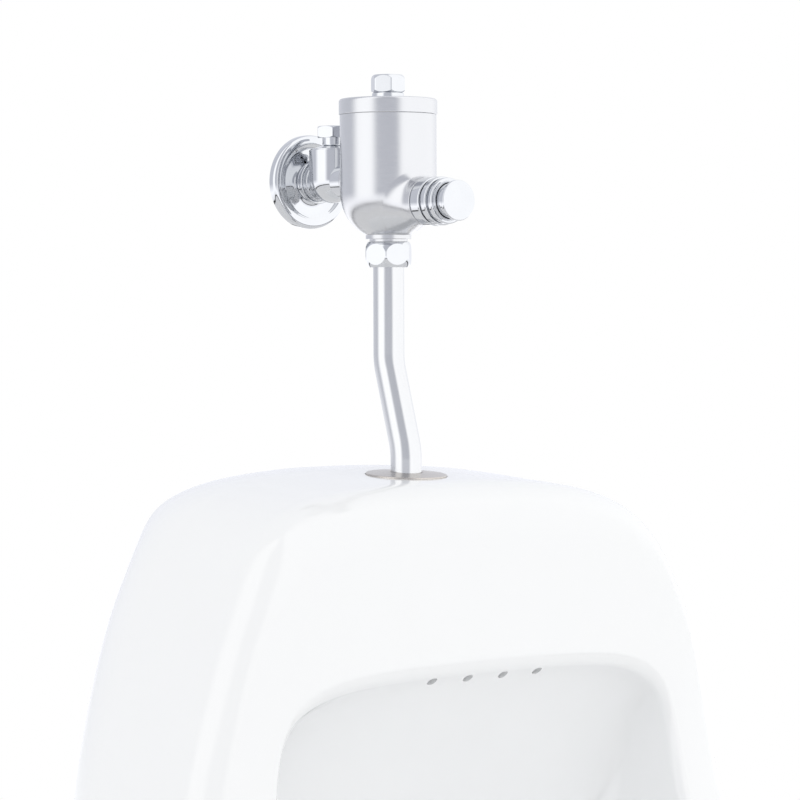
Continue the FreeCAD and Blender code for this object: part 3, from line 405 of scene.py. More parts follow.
@dataclass(frozen=True)
class Finish:
    """A surface as it was made, with a fine grain that varies its shade, gloss and relief.

    Attributes:
        name: The material and how it was worked.
        slot: The record's material slot.
        shade: Its colour.
        shade_low: Its colour in the grain's hollows.
        roughness: Lowest and highest roughness over the grain.
        metallic: 1 for metal.
        grain: Size of the grain in millimetres along X, Y and Z.
        relief: Depth of the grain in millimetres.
        coat: Weight of a clear glaze or plate over it.
        ior: Index of refraction, or None for a metal.
    """

    name: str
    slot: str
    shade: str
    shade_low: str
    roughness: tuple[float, float]
    metallic: float
    grain: Point
    relief: float
    coat: float = 0.0
    ior: float | None = None

    def material(self) -> bpy.types.Material:
        """The finish as a node-based material, made once."""
        made = bpy.data.materials.get(self.name)
        return made or self._build()

    def _build(self) -> bpy.types.Material:
        """Lay the grain as stretched noise over Object coordinates."""
        material = bpy.data.materials.new(self.name)
        material.use_nodes = True
        tree = material.node_tree
        tree.nodes.clear()
        place = add_node(tree, "ShaderNodeTexCoord")
        per_grain = tuple(1.0 / (size * MM) for size in self.grain)
        stretched = add_node(tree, "ShaderNodeMapping",
                             {"Vector": place.outputs["Object"], "Scale": per_grain})
        noise = add_node(tree, "ShaderNodeTexNoise",
                         {"Vector": stretched.outputs["Vector"], "Scale": 1.0, "Detail": 4.0,
                          "Roughness": 0.55})
        grain = noise.outputs["Fac"]
        shade = add_node(tree, "ShaderNodeMix", {"Factor": grain, 6: colour(self.shade_low),
                                                 7: colour(self.shade)}, data_type="RGBA")
        gloss = add_node(tree, "ShaderNodeMapRange",
                         {"Value": grain, "From Min": 0.3, "From Max": 0.7,
                          "To Min": self.roughness[0], "To Max": self.roughness[1]})
        relief = add_node(tree, "ShaderNodeBump", {"Height": grain, "Strength": 1.0,
                                                   "Distance": self.relief * MM})
        surface = add_node(tree, "ShaderNodeBsdfPrincipled",
                           {"Base Color": shade.outputs[2], "Roughness": gloss.outputs[0],
                            "Normal": relief.outputs["Normal"], "Metallic": self.metallic,
                            "Coat Weight": self.coat, "Coat Roughness": 0.03})
        if self.ior is not None:
            surface.inputs["IOR"].default_value = self.ior
        add_node(tree, "ShaderNodeOutputMaterial", {"Surface": surface.outputs[0]})
        return material


# Vitreous china under a white glaze, fired glossy: mirror-like, with a long, faint unevenness.
GLAZE = Finish("white_glazed_china", "china", "F7F8F9", "F5F6F7", (0.05, 0.09), 0.0,
               (38.0, 38.0, 38.0), 0.03, coat=0.3, ior=1.52)
# Brass, polished and chrome plated: a clear cool mirror of true reflectance, which looks white
# because the studio's bright panels are brighter than its backdrop.
BRIGHT_CHROME = Finish("polished_chrome_plate", "bright_chrome", "D2D4D7", "CCCED2",
                       (0.035, 0.07), 1.0, (9.0, 9.0, 9.0), 0.002)
# Cast brass, satin ground and chrome plated: reflections widen to soft upright bands.
SATIN_CHROME = Finish("satin_chrome_plate", "satin_chrome", "D0D1D4", "CACBCE",
                      (0.20, 0.25), 1.0, (6.0, 6.0, 0.6), 0.001)
# Drawn brass tube, chrome plated: a little softer than the fittings, with marks along it.
TUBE_CHROME = Finish("drawn_tube_chrome_plate", "pipe_metal", "D4D5D7", "CDCED0",
                     (0.10, 0.16), 1.0, (0.8, 0.8, 30.0), 0.001)
# Pressed stainless steel, brushed: warmer than the chrome, with a fine grain.
BRUSHED_STEEL = Finish("brushed_stainless_steel", "steel", "C4BFBB", "B8B3AE",
                       (0.24, 0.34), 1.0, (14.0, 0.5, 4.0), 0.002)
# Mild steel strip, zinc plated and passivated: grey, cloudy and faintly blue.
ZINC_PLATE = Finish("zinc_plated_steel", "zinc_steel", "C2C8CE", "AAB1B8",
                    (0.30, 0.45), 1.0, (5.0, 5.0, 5.0), 0.01)
# Cast brass, nickel plated over the casting's skin.
NICKEL_PLATE = Finish("nickel_plated_casting", "waste_metal", "D3D0CA", "BFBCB5",
                      (0.18, 0.30), 1.0, (3.0, 3.0, 3.0), 0.008)
# Turned brass, bare and slightly dulled.
TURNED_BRASS = Finish("turned_brass", "brass", "D8B36A", "B98F4A",
                      (0.22, 0.34), 1.0, (3.0, 3.0, 0.4), 0.004)
# Moulded rubber, matt black with a dusty bloom.
MOULDED_RUBBER = Finish("moulded_rubber", "rubber", "2A2A2B", "1D1D1E",
                        (0.60, 0.75), 0.0, (1.2, 1.2, 1.2), 0.02, ior=1.5)
FINISHES = (GLAZE, BRIGHT_CHROME, SATIN_CHROME, TUBE_CHROME, BRUSHED_STEEL, ZINC_PLATE,
            NICKEL_PLATE, TURNED_BRASS, MOULDED_RUBBER)


# ---- the frame -------------------------------------------------------------------------------
@dataclass(frozen=True)
class Room:
    """The box of a node of the frame, in millimetres."""

    low: np.ndarray
    high: np.ndarray

    @property
    def centre(self) -> np.ndarray:
        """The middle of the box."""
        return (self.low + self.high) / 2

    @property
    def size(self) -> np.ndarray:
        """The box's extent along X, Y and Z."""
        return self.high - self.low


def room_of(node: str) -> Room:
    """The box of a node, in millimetres."""
    low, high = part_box(node)
    return Room(np.array(low) / MM, np.array(high) / MM)


def dress(piece: bpy.types.Object, node: str, finish: Finish) -> bpy.types.Object:
    """Let a piece stand for a node, ride with the node's body and wear a finish.

    Args:
        piece: The new piece.
        node: The node of the frame that it replaces.
        finish: Its finish.

    Returns:
        The same piece.
    """
    piece.data.materials.clear()
    piece.data.materials.append(finish.material())
    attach(piece, frame["nodes"][node]["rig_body"])
    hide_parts(node)
    LOG.info("%s: %d faces, %s", piece.name, len(piece.data.polygons), finish.name)
    return piece


def dress_inner_nodes() -> None:
    """Give each node that keeps its own mesh the finish of its material slot."""
    by_slot = {finish.slot: finish for finish in FINISHES}
    for part in frame["record"]["subparts"]:
        node = frame["nodes"][part["node"]]
        if not node.hide_render:
            finish = by_slot[part["material_slot"]]
            for place in node.material_slots:
                place.material = finish.material()
            LOG.info("%s keeps its mesh, %s", node.name, finish.name)


BARREL_TOP_LEVEL = 160.0                                   # the valve seat's underside
SEAT_Z = room_of("valve_seat").low[2] - BARREL_TOP_LEVEL    # the china under the pipe flange
VALVE_Y = room_of("valve_lid").centre[1]
INLET_Y = room_of("pipe_flange").centre[1]
STOP_Y = room_of("stop_cap").centre[1]


def on_valve(level: float) -> np.ndarray:
    """A point on the valve's axis, by its level above the china."""
    return np.array([0.0, VALVE_Y, SEAT_Z + level])


def on_inlet(level: float) -> np.ndarray:
    """A point on the axis of the flush pipe's foot."""
    return np.array([0.0, INLET_Y, SEAT_Z + level])


def on_stop(level: float) -> np.ndarray:
    """A point on the stop valve's upright axis."""
    return np.array([0.0, STOP_Y, SEAT_Z + level])


# ---- china -----------------------------------------------------------------------------------
def spline(knots: np.ndarray, values: np.ndarray, start: np.ndarray, end: np.ndarray,
           at: np.ndarray) -> tuple[np.ndarray, np.ndarray]:
    """A cubic spline with given slopes at its ends.

    The inner slopes are those that make the second derivative run on through each knot. They
    solve a three-banded system, and each span is then a Hermite cubic.

    Args:
        knots: Parameters of the points, rising.
        values: The points, one row for each knot.
        start: Slope at the first knot.
        end: Slope at the last knot.
        at: Parameters to work out.

    Returns:
        The values and the slopes there.
    """
    gap = np.diff(knots)
    rise = np.diff(values, axis=0) / gap[:, None]
    count = len(knots)
    bands = np.eye(count)
    right = np.empty(values.shape)
    right[0], right[-1] = start, end
    inner = np.arange(1, count - 1)
    bands[inner, inner - 1] = gap[1:]
    bands[inner, inner] = 2 * (gap[:-1] + gap[1:])
    bands[inner, inner + 1] = gap[:-1]
    right[inner] = 3 * (gap[1:, None] * rise[:-1] + gap[:-1, None] * rise[1:])
    slope = np.linalg.solve(bands, right)
    span = np.clip(np.searchsorted(knots, at, side="right") - 1, 0, count - 2)
    width = gap[span][:, None]
    share = ((at - knots[span]) / gap[span])[:, None]
    first, last = values[span], values[span + 1]
    leaving, arriving = slope[span] * width, slope[span + 1] * width
    place = ((1 + 2 * share) * (1 - share) ** 2 * first + share * (1 - share) ** 2 * leaving
             + share ** 2 * (3 - 2 * share) * last + share ** 2 * (share - 1) * arriving)
    steep = (6 * share * (share - 1) * (first - last) + (1 - share) * (1 - 3 * share) * leaving
             + share * (3 * share - 2) * arriving) / width
    return place, steep


def bezier(points: Sequence[np.ndarray], share: np.ndarray) -> np.ndarray:
    """Rows of points along cubic Bezier curves, one curve for each column.

    Args:
        points: The four handles, each an array of columns x 3.
        share: Where along the curves, from 0 to 1.

    Returns:
        Array of shares x columns x 3.
    """
    share = share[:, None, None]
    rest = 1 - share
    return (rest ** 3 * points[0] + 3 * rest ** 2 * share * points[1]
            + 3 * rest * share ** 2 * points[2] + share ** 3 * points[3])


def round_corner(before: np.ndarray, corner: np.ndarray, after: np.ndarray,
                 steps: int) -> np.ndarray:
    """Rows of points on curves close to a circle's quarter, without the first row."""
    handle = 0.5523
    curve = (before, before + (corner - before) * handle, after + (corner - after) * handle, after)
    return bezier(curve, np.linspace(0.0, 1.0, steps + 1)[1:])


@dataclass
class UrinalChina:
    """The glazed body: skin, bowl, water chamber, ledges and outlet.

    Outlines are (distance from the middle, drop below the top) from the top middle round to the
    bottom middle, and run in step.
    """

    height: float = 520.0
    depth: float = 322.0
    top: float = 95.0
    top_slope: float = 0.06
    wall: float = 9.0
    rear_taper: float = 22.0
    rear_taper_top: float = 5.0
    rear_taper_depth: float = 60.0
    corner_radius: float = 12.0
    corner_radius_top: float = 28.0
    corner_fade: float = 80.0
    front_crown: float = 18.0
    crown_half_width: float = 150.0
    crown_drop: float = 180.0
    rim_radius: float = 7.0
    outlet_to_wall: float = 150.0
    outlet_drop: float = 442.0
    outlet_recess: float = 36.0
    outlet_boss: float = 42.0
    outlet_boss_depth: float = 16.0
    outlet_hole: float = 25.0
    outlet_floor: float = 20.0
    inlet_reach: float = 22.0
    inlet_steps: tuple = ((17.0, -2.5), (20.5, 0.0))    # radius, and height where it ends
    flange_gap: float = 0.4
    flange_clear: float = 12.0
    notch_half_width: float = 54.0
    hole_radius: float = 2.9
    hole_spacing: float = 24.0
    hole_count: int = 4
    hole_start: tuple = (136.0, 92.0)                   # to the wall, and below the top
    hole_mouth: tuple = (157.0, 109.0)
    hole_reach: float = 1.6                             # cutter's length by the way to the mouth
    ledge: tuple = ((64.0, -32.0, -45.0), (178.0, -5.0, -15.0))
    hook_slot: tuple = ((82.0, -26.0, -60.0), (118.0, -19.0, -28.0))
    spreader_half_width: float = 71.0
    spreader_back: float = -61.0
    spreader_floor: float = -13.0
    chamber: tuple = ((-62.0, -143.0, -4.0), (62.0, -70.0, 77.0))
    leave_in: float = 8.0
    leave_back: tuple = (50, 95, 45)    # how the bowl's wall leaves its rim: top, side and bottom
    leave_down: tuple = (40, 25, 28)
    arrive_out: tuple = (64, 42, 45)    # how it comes to the outlet
    arrive_up: tuple = (95, 14, 3)
    front_outline: tuple = ((0, 0), (46, 1), (113, 14), (145, 52), (163, 97), (182, 177),
                            (187, 255), (180, 335), (144, 408), (82, 446), (0, 454))
    wall_outline: tuple = ((0, 0), (46, 1), (113, 14), (145, 52), (163, 97), (182, 177),
                           (186, 255), (174, 345), (135, 440), (75, 500), (0, 520))
    bowl_outline: tuple = ((0, 103), (48, 104), (95, 109), (124, 124), (134, 150), (138, 190),
                           (141, 250), (130, 316), (97, 372), (50, 399), (0, 405))
    front_profile: tuple = ((0, 150), (98, 164.5), (180, 178), (300, 235), (454, 322))

    def outline(self, points: tuple, share: np.ndarray) -> tuple[np.ndarray, np.ndarray]:
        """A half outline as a smooth curve that is level at both ends."""
        table = np.array(points, float)
        spans = len(table) - 1
        start = np.array([table[1, 0] * spans, 0.0])
        end = np.array([-table[-2, 0] * spans, 0.0])
        return spline(np.linspace(0.0, 1.0, spans + 1), table, start, end, share)

    def front_distance(self, drop: np.ndarray) -> np.ndarray:
        """How far the front stands from the wall, at a drop."""
        table = np.array(self.front_profile, float)
        knots, values = table[:, 0], table[:, 1:]
        rise = np.diff(values[:, 0]) / np.diff(knots)
        bend_first = (rise[1] - rise[0]) / (knots[2] - knots[0])
        bend_last = (rise[-1] - rise[-2]) / (knots[-1] - knots[-3])
        start = rise[0] - bend_first * (knots[1] - knots[0])
        end = rise[-1] + bend_last * (knots[-1] - knots[-2])
        clipped = np.clip(drop, knots[0], knots[-1])
        return spline(knots, values, np.array([start]), np.array([end]), clipped)[0][:, 0]

    def skin(self, inset: float, columns: int, fine: int) -> np.ndarray:
        """The skin's points, from the wall round the front edge and down the bowl to its outlet.

        The side swings from the wall's outline to the front's, the front edge is a quarter
        round, the rim another, and the bowl's wall a Bezier curve to the outlet's recess.

        Args:
            inset: How far the skin is drawn into the china, for the shell's inner faces.
            columns: Lines from the top middle to the bottom middle.
            fine: Rows on each quarter round.

        Returns:
            Array of rows x columns x 3, once round.
        """
        share = np.linspace(0.0, 1.0, columns)
        front, slope = self.outline(self.front_outline, share)
        wall = self.outline(self.wall_outline, share)[0]
        bowl = self.outline(self.bowl_outline, share)[0]
        along = slope / np.linalg.norm(slope, axis=1, keepdims=True)
        outward = np.stack([along[:, 1], -along[:, 0]], axis=1)
        top_weight = np.maximum(-outward[:, 1], 0.0)
        front = front - outward * inset
        wall = wall - outward * inset
        bowl = bowl + outward * inset

        def front_y(point: np.ndarray) -> np.ndarray:
            """The front's place along Y, with its crown."""
            crown = self.front_crown * (point[:, 0] / self.crown_half_width) ** 2
            crown = crown * np.clip(point[:, 1], 0.0, self.crown_drop) / self.crown_drop
            return crown + inset - self.front_distance(point[:, 1])

        def in_space(point: np.ndarray, y: np.ndarray) -> np.ndarray:
            """An outline's point at a depth, on the sloping top."""
            drop = point[..., 1] - self.top_slope * y * top_weight
            return np.stack([point[..., 0], np.broadcast_to(y, drop.shape), self.top - drop], -1)

        corner = in_space(front, front_y(front))
        edge = np.stack([bowl[:, 0], front_y(bowl), self.top - bowl[:, 1]], axis=1)
        across = edge - corner
        run = np.linalg.norm(across, axis=1, keepdims=True)
        fade = np.exp(-np.maximum(front[:, 1], 0.0) / self.corner_fade)
        radius = self.corner_radius + (self.corner_radius_top - self.corner_radius) * fade - inset
        radius = np.clip(radius, 2.0, 0.45 * run[:, 0])
        taper = self.rear_taper * np.abs(outward[:, 0]) + self.rear_taper_top * top_weight
        part = np.linspace(0.0, 1.0, 3 * fine)[:, None]
        y = inset / 4 + (corner[:, 1] + radius - inset / 4) * part
        drawn_in = taper * np.maximum(1 + y / self.rear_taper_depth, 0.0) ** 2
        swing = (part ** 2 * (3 - 2 * part))[..., None]
        side = in_space(wall + (front - wall) * swing - outward * drawn_in[..., None], y)
        after_corner = corner + across / run * radius[:, None]
        bend = round_corner(side[-1], corner, after_corner, fine)

        turn = math.pi * share
        high = np.maximum(np.cos(turn), 0.0) ** 2
        low = np.maximum(-np.cos(turn), 0.0) ** 2
        flank = np.sin(turn) ** 2

        def blend(values: tuple) -> np.ndarray:
            """One value for each line, from those at the top, the side and the bottom."""
            return values[0] * high + values[1] * flank + values[2] * low

        into = np.stack([-outward[:, 0] * self.leave_in * flank, blend(self.leave_back),
                         -blend(self.leave_down)], axis=1)
        outwards = np.stack([np.sin(turn), np.cos(turn), 0 * turn], axis=1)
        centre = np.array([0.0, -self.outlet_to_wall, self.top - self.outlet_drop - inset])
        at_ring = centre + outwards * (self.outlet_recess + inset)
        spread = blend(self.arrive_out)[:, None]
        lift = blend(self.arrive_up)[:, None] * np.array([0.0, 0.0, 1.0])
        shift = (inset * 0.8 * (high + flank))[:, None] * np.array([0.0, 1.0, 0.0])
        before_ring = at_ring + outwards * spread + lift
        room = np.linalg.norm(edge - after_corner, axis=1, keepdims=True)
        softness = np.minimum(self.rim_radius + inset / 2, room * 0.45)
        before_edge = edge - (edge - after_corner) / room * softness
        after_edge = edge + into / np.linalg.norm(into, axis=1, keepdims=True) * softness
        quarters = np.array([0.25, 0.5, 0.75, 1.0])[:, None, None]
        face = after_corner + (before_edge - after_corner) * quarters
        rim = round_corner(before_edge, edge, after_edge, fine)
        handles = (after_edge, edge + into + shift, before_ring + shift, at_ring)
        hollow = bezier(handles, np.linspace(0.0, 1.0, 4 * fine + 1)[1:])
        half = np.concatenate([side, bend, face, rim, hollow])
        other = half[:, -2:0:-1] * np.array([-1.0, 1.0, 1.0])
        return np.concatenate([half, other], axis=1)

    def closed_skin(self, inset: float, columns: int, fine: int) -> Form:
        """The skin closed at the wall and under the outlet by flat faces."""
        grid = self.skin(inset, columns, fine)
        ends = [np.broadcast_to(row.mean(axis=0), (1, *row.shape)) for row in (grid[0], grid[-1])]
        return grid_form(np.concatenate([ends[0], grid, ends[1]]), False, True)

    def on_outlet(self, drop: float) -> np.ndarray:
        """A point on the outlet's axis."""
        return np.array([0.0, -self.outlet_to_wall, self.top - drop])

    def rinse_holes(self) -> list[Form]:
        """Cutters for the slanted holes at the top of the bowl."""
        start, mouth = (np.array([0.0, -to_wall, self.top - drop])
                        for to_wall, drop in (self.hole_start, self.hole_mouth))
        run = mouth - start
        length = float(np.linalg.norm(run)) * self.hole_reach
        shifts = (np.arange(self.hole_count) - (self.hole_count - 1) / 2) * self.hole_spacing
        return [rod(self.hole_radius, 0, length, start + np.array([shift, 0.0, 0.0]), run,
                    columns=40) for shift in shifts]

    def trap_notch(self) -> list[Form]:
        """Cutters for the room under the outlet and the way from it to the wall."""
        boss_drop = self.outlet_drop + self.outlet_boss_depth
        low, high = self.top - self.height - 2, self.top - boss_drop
        way = block((-self.notch_half_width, -self.outlet_to_wall, low),
                    (self.notch_half_width, 8, high), 0.01)
        return [rod(self.notch_half_width, 0, high - low, self.on_outlet(boss_drop), Axis.DOWN),
                way]

    def hollow(self) -> bpy.types.Object:
        """What the skin holds, less the spreader, the outlet's boss and the ledges."""
        half, floor = self.spreader_half_width, self.spreader_floor
        spreader = block((-half, -self.depth, floor), (half, self.spreader_back, self.top + 30),
                         6.0)
        boss = rod(self.outlet_boss, 0, self.outlet_boss_depth + 2,
                   self.on_outlet(self.outlet_drop - 2), Axis.DOWN, 3)
        kept = [spreader, boss, *mirrored(*self.ledge, 3.0)]
        return shaped(self.closed_skin(self.wall, 61, 6), [(Join.CUT, form) for form in kept],
                      "china_hollow")

    def build(self) -> bpy.types.Object:
        """The whole china, hollow and holed."""
        hole = self.outlet_hole
        outlet = lathe([(0, -1, 0), (hole + 2, -1, 0), (hole + 2, 1, 0), (hole, 3, 2),
                        (hole, self.outlet_floor, 0), (0, self.outlet_floor, 0)],
                       self.on_outlet(self.outlet_drop), Axis.DOWN)
        flange_radius = room_of("pipe_flange").size[0] / 2 + self.flange_gap
        inlet = stepped(-self.inlet_reach, (*self.inlet_steps, (flange_radius, self.flange_clear)),
                        on_inlet(0), (0.0, -self.top_slope, 1.0))
        cut = [self.hollow(), block(*self.chamber, 8.0), *mirrored(*self.hook_slot, 1.0),
               *self.trap_notch(), inlet, outlet, *self.rinse_holes()]
        china = shaped(self.closed_skin(0.0, 161, 12), [(Join.CUT, tool) for tool in cut],
                       "urinal_china")
        return dress(smoothed(china, 38.0, weigh=False), "urinal_bowl", GLAZE)


# ---- turned and hexagonal brassware ----------------------------------------------------------
@dataclass(frozen=True)
class Turning:
    """The curve to which the corners of a hexagon are turned at one end.

    Attributes:
        reach: How far inside the end the curve starts, where it is upright.
        widest: Its radius there.
        end: Its radius at the end.
    """

    reach: float
    widest: float
    end: float

    def radius(self, inside: np.ndarray) -> np.ndarray:
        """The curve's radius at a distance inside the end: a parabola from widest to end."""
        share = np.clip((self.reach - inside) / self.reach, 0.0, 1.0)
        return self.widest - (self.widest - self.end) * share ** 2

    def start(self, radius: np.ndarray) -> np.ndarray:
        """How far inside the end the curve has a radius."""
        share = np.sqrt(np.clip((self.widest - radius) / (self.widest - self.end), 0.0, 1.0))
        return self.reach * (1 - share)


@dataclass(frozen=True)
class Hexagon:
    """A hexagon head or nut on an upright axis.

    Attributes:
        across_flats: Width from flat to flat.
        low: Level of its underside.
        high: Level of its top.
        corner: Angle of one corner from +X, in degrees.
        under: The turning at the underside.
        over: The turning at the top.
        sharpness: Power of the corners' rounding: the radius is a power mean of the six flats.
    """

    across_flats: float
    low: float
    high: float
    corner: float
    under: Turning
    over: Turning
    sharpness: float = 70.0

    def form(self, place: Callable[[float], np.ndarray], level: float = 0.0) -> Form:
        """The head's surface, its rows following the edge between each flat and the turning.

        Args:
            place: Gives the point on the axis at a level.
            level: What the head's own levels are counted from.

        Returns:
            The closed surface.
        """
        columns, rows = 24, 8           # on each flat and on each turning
        side = np.arange(6)[:, None] * math.pi / 3
        across = np.sin(np.linspace(-math.pi / 2, math.pi / 2, columns, endpoint=False))
        angle = (side + (across + 1) * math.pi / 6 + math.radians(self.corner)).reshape(-1)
        flats = math.radians(self.corner) + math.pi / 6 + side
        facing = np.maximum(np.cos(angle[None] - flats), 0.0)
        mean = (facing ** self.sharpness).sum(axis=0) ** (1 / self.sharpness)
        flat_radius = self.across_flats / 2 / mean
        share = np.linspace(0.0, 1.0, rows)[:, None]
        inside_low = self.under.start(flat_radius) * share
        inside_high = self.over.start(flat_radius) * share[::-1]
        low_radius = np.minimum(self.under.radius(inside_low), flat_radius)
        high_radius = np.minimum(self.over.radius(inside_high), flat_radius)
        axis = np.zeros((1, len(angle)))
        low, high = level + self.low, level + self.high
        radius = np.concatenate([axis, low_radius, high_radius, axis])
        height = np.concatenate([axis + low, low + inside_low, high - inside_high, axis + high])
        points = np.stack([radius * np.cos(angle), radius * np.sin(angle), height], axis=-1)
        return grid_form(points + place(0.0), False, True)


@dataclass(frozen=True)
class HexCap:
    """A hexagon cap on a turned foot, hollow from below, in heights above what it stands on.

    Attributes:
        head: The hexagon.
        foot: Outline of the foot.
        steps: (radius, height at which it ends) of each step of the hollow.
    """

    head: Hexagon
    foot: tuple
    steps: tuple

    def build(self, place: Callable[[float], np.ndarray], level: float, name: str,
              node: str) -> None:
        """The cap, polished and chrome plated.

        Args:
            place: Gives the point on the axis at a level.
            level: Level of what it stands on.
            name: The name of the piece.
            node: The node that it replaces.
        """
        foot = lathe(raised(self.foot, level), place(0))
        hollow = stepped(-1, self.steps, place(0), level=level)
        cap = shaped(self.head.form(place, level), [(Join.ADD, foot), (Join.CUT, hollow)], name)
        dress(smoothed(cap, 24.0), node, BRIGHT_CHROME)


def threaded(radius: float, pitch: float, depth: float, start: float, end: float,
             base: Sequence[float], axis: Axis, bore: float = 0.0) -> Form:
    """A rod with a thread: its radius is a rounded zigzag of height less turn.

    Args:
        radius: Outer radius.
        pitch: Distance from thread to thread.
        depth: Depth of the groove.
        start: Height at which the rod starts.
        end: Height at which it ends.
        base: Where height 0 stands.
        axis: The direction of the height.
        bore: Radius of a hole right through, or 0.

    Returns:
        The closed surface.
    """
    rows = int((end - start) / pitch * 8) + 2
    columns = 96
    height = np.linspace(start, end, rows)[:, None]
    angle = np.linspace(0.0, 2 * math.pi, columns, endpoint=False)[None, :]
    phase = height / pitch - angle / (2 * math.pi)
    zigzag = np.abs(2 * (phase - np.floor(phase)) - 1)
    margin = np.minimum(height - start, end - height)
    fade = np.clip(margin / pitch, 0.0, 1.0)
    groove = np.clip(1.25 * zigzag - 0.12, 0.0, 1.0) * fade
    outer = radius - depth * groove - 0.5 * depth * (margin < 1e-6)
    inner = np.full((1, columns), bore)
    radii = np.concatenate([inner, outer, inner])
    heights = np.concatenate([[[start]], height, [[end]]])
    local = np.stack([radii * np.cos(angle), radii * np.sin(angle),
                      np.broadcast_to(heights, radii.shape)], axis=-1)
    return grid_form(local @ frame_of(axis.value) + np.array(base), bore > 0, True)


@dataclass
class FlushValve:
    """The upright valve: body, lid and cap, in levels above the china."""

    radius: float = 26.5
    wall: float = 4.0
    round_level: float = 155.0      # centre of the round bottom
    seam_level: float = 197.5
    neck_radius: float = 10.48
    neck_bottom: float = 119.0
    neck_ring: float = 129.5
    neck_ring_radius: float = 11.6
    lid_thread: tuple = (24.5, 190.0, 199.0)            # radius, and from level to level
    barrel: tuple = (12.5, 129.5, BARREL_TOP_LEVEL)
    outlet: tuple = ((0, 118, 0), (7.5, 118, 0), (7.5, 132, 0), (9.0, 134, 0), (9.0, 161, 0),
                     (0, 161, 0))
    button_level: float = 149.0
    button_guide: tuple = (5.5, 9.0, 25.0)              # radius, and from reach to reach
    button_steps: tuple = ((2.3, 25.0), (7.0, 30.0), (10.3, 42.0))
    flare_radius: float = 18.5
    flare_start: float = 6.0
    flare_end: float = 31.0
    flare_sunk: float = 0.06                            # how far its foot lies in the body
    boss_radius: float = 12.9
    boss_shoulder: float = 34.5
    boss_thread: float = 11.2
    boss_end: float = 41.0
    supply_level: float = 163.0
    supply: tuple = (11.0, 12.0, 31.5)
    supply_start: float = 12.5
    supply_steps: tuple = ((6.0, 25.5), (8.3, 33.0))
    lid_height: float = 8.6
    lid_outline: tuple = ((3.05, 0, 0), (20.9, 0, 0), (20.9, -6, 0.3), (24.4, -6, 0.5),
                          (24.4, 0, 0))                 # heights above the seam
    lid_neck: tuple = ((6.6, 8.6, 0.2), (6.6, 13.0, 0.5), (5.2, 13.0, 0.3), (5.2, 3.6, 0),
                       (3.05, 3.6, 0))
    cap: HexCap = HexCap(
        Hexagon(17.0, 3.6, 13.1, 4.0, Turning(1.3, 9.75, 8.35), Turning(3.0, 9.75, 7.9)),
        ((0, 0, 0), (8.75, 0, 0.3), (8.75, 3, 0.4), (8.1, 3.4, 0.2), (8.1, 4, 0), (0, 4, 0)),
        ((6.7, 4.7), (5.4, 10.1)))

    def on_button(self, reach: float) -> np.ndarray:
        """A point on the button's axis, by its reach from the valve's axis to the room."""
        return on_valve(self.button_level) + np.array([0.0, -reach, 0.0])

    def cup(self, radius: float, top: float) -> list[Point]:
        """Outline of a cylinder with a round bottom."""
        turn = np.linspace(0.0, math.pi / 2, 25)
        arc = [(radius * math.sin(angle), self.round_level - radius * math.cos(angle), 0.0)
               for angle in turn]
        return [*arc, (radius, top, 0.3), (0.0, top, 0.0)]

    def flared_boss(self) -> Form:
        """The button's boss, whose foot spreads out and runs into the round body.

        Between the flare's outer circle and the boss, a point's reach is the body's own reach
        below it, plus a quarter-round share of the way out to the straight boss.
        """
        angle = np.linspace(0.0, 2 * math.pi, 128, endpoint=False)[None, :]
        share = np.linspace(0.0, 1.0, 15)[:, None]
        inward = np.sin(share * math.pi / 2)
        radius = self.flare_radius + (self.boss_radius - self.flare_radius) * inward
        x, z = radius * np.cos(angle), radius * np.sin(angle)
        below = np.minimum(self.button_level + z - self.round_level, 0.0)
        body = np.sqrt(self.radius ** 2 - x ** 2 - below ** 2) - self.flare_sunk
        reach = body + (self.flare_end - body) * (1 - np.cos(share * math.pi / 2))
        ends = softened([(self.boss_radius, self.flare_end + 0.5, 0.0),
                         (self.boss_radius, self.boss_shoulder, 0.4),
                         (self.boss_thread, self.boss_shoulder, 0.0),
                         (self.boss_thread, self.boss_end, 0.3), (0.0, self.boss_end, 0.0)], False)
        start = np.array([[0.0, self.flare_start], [self.flare_radius, self.flare_start]])

        def rings(outline: np.ndarray) -> np.ndarray:
            """Plain circles of an outline, as X, reach and Z."""
            across, along = outline[:, :1], outline[:, 1:]
            return np.stack([across * np.cos(angle), along + 0 * angle,
                             across * np.sin(angle)], axis=-1)

        flare = np.stack([x, reach, z], axis=-1)
        grid = np.concatenate([rings(start), flare, rings(ends)]) * np.array([1.0, -1.0, 1.0])
        return grid_form(grid + self.on_button(0.0), False, True)

    def body(self) -> None:
        """The cast body with its inner tube and its holes."""
        neck = [(0, self.neck_bottom, 0), (self.neck_radius, self.neck_bottom, 0.5),
                (self.neck_radius, self.neck_ring, 0.3),
                (self.neck_ring_radius, self.neck_ring, 0.4),
                (self.neck_ring_radius, self.round_level, 0), (0, self.round_level, 0)]
        upright, button, supply = on_valve(0), self.on_button(0), on_valve(self.supply_level)
        changes = [
            (Join.ADD, lathe(neck, upright)),
            (Join.ADD, self.flared_boss()),
            (Join.ADD, rod(*self.supply, supply, Axis.TO_WALL, 0.6)),
            (Join.CUT, lathe(self.cup(self.radius - self.wall, self.seam_level + 1), upright)),
            (Join.CUT, rod(*self.lid_thread, upright)),
            (Join.ADD, rod(*self.barrel, upright, edge=0.4)),
            (Join.ADD, rod(*self.button_guide, button, Axis.TO_ROOM)),
            (Join.CUT, lathe(self.outlet, upright)),
            (Join.CUT, stepped(0, self.button_steps, button, Axis.TO_ROOM)),
            (Join.CUT, stepped(self.supply_start, self.supply_steps, supply, Axis.TO_WALL)),
        ]
        shell = lathe(self.cup(self.radius, self.seam_level), upright, columns=192)
        dress(smoothed(shaped(shell, changes, "valve_casting"), 26.0), "valve_body", SATIN_CHROME)

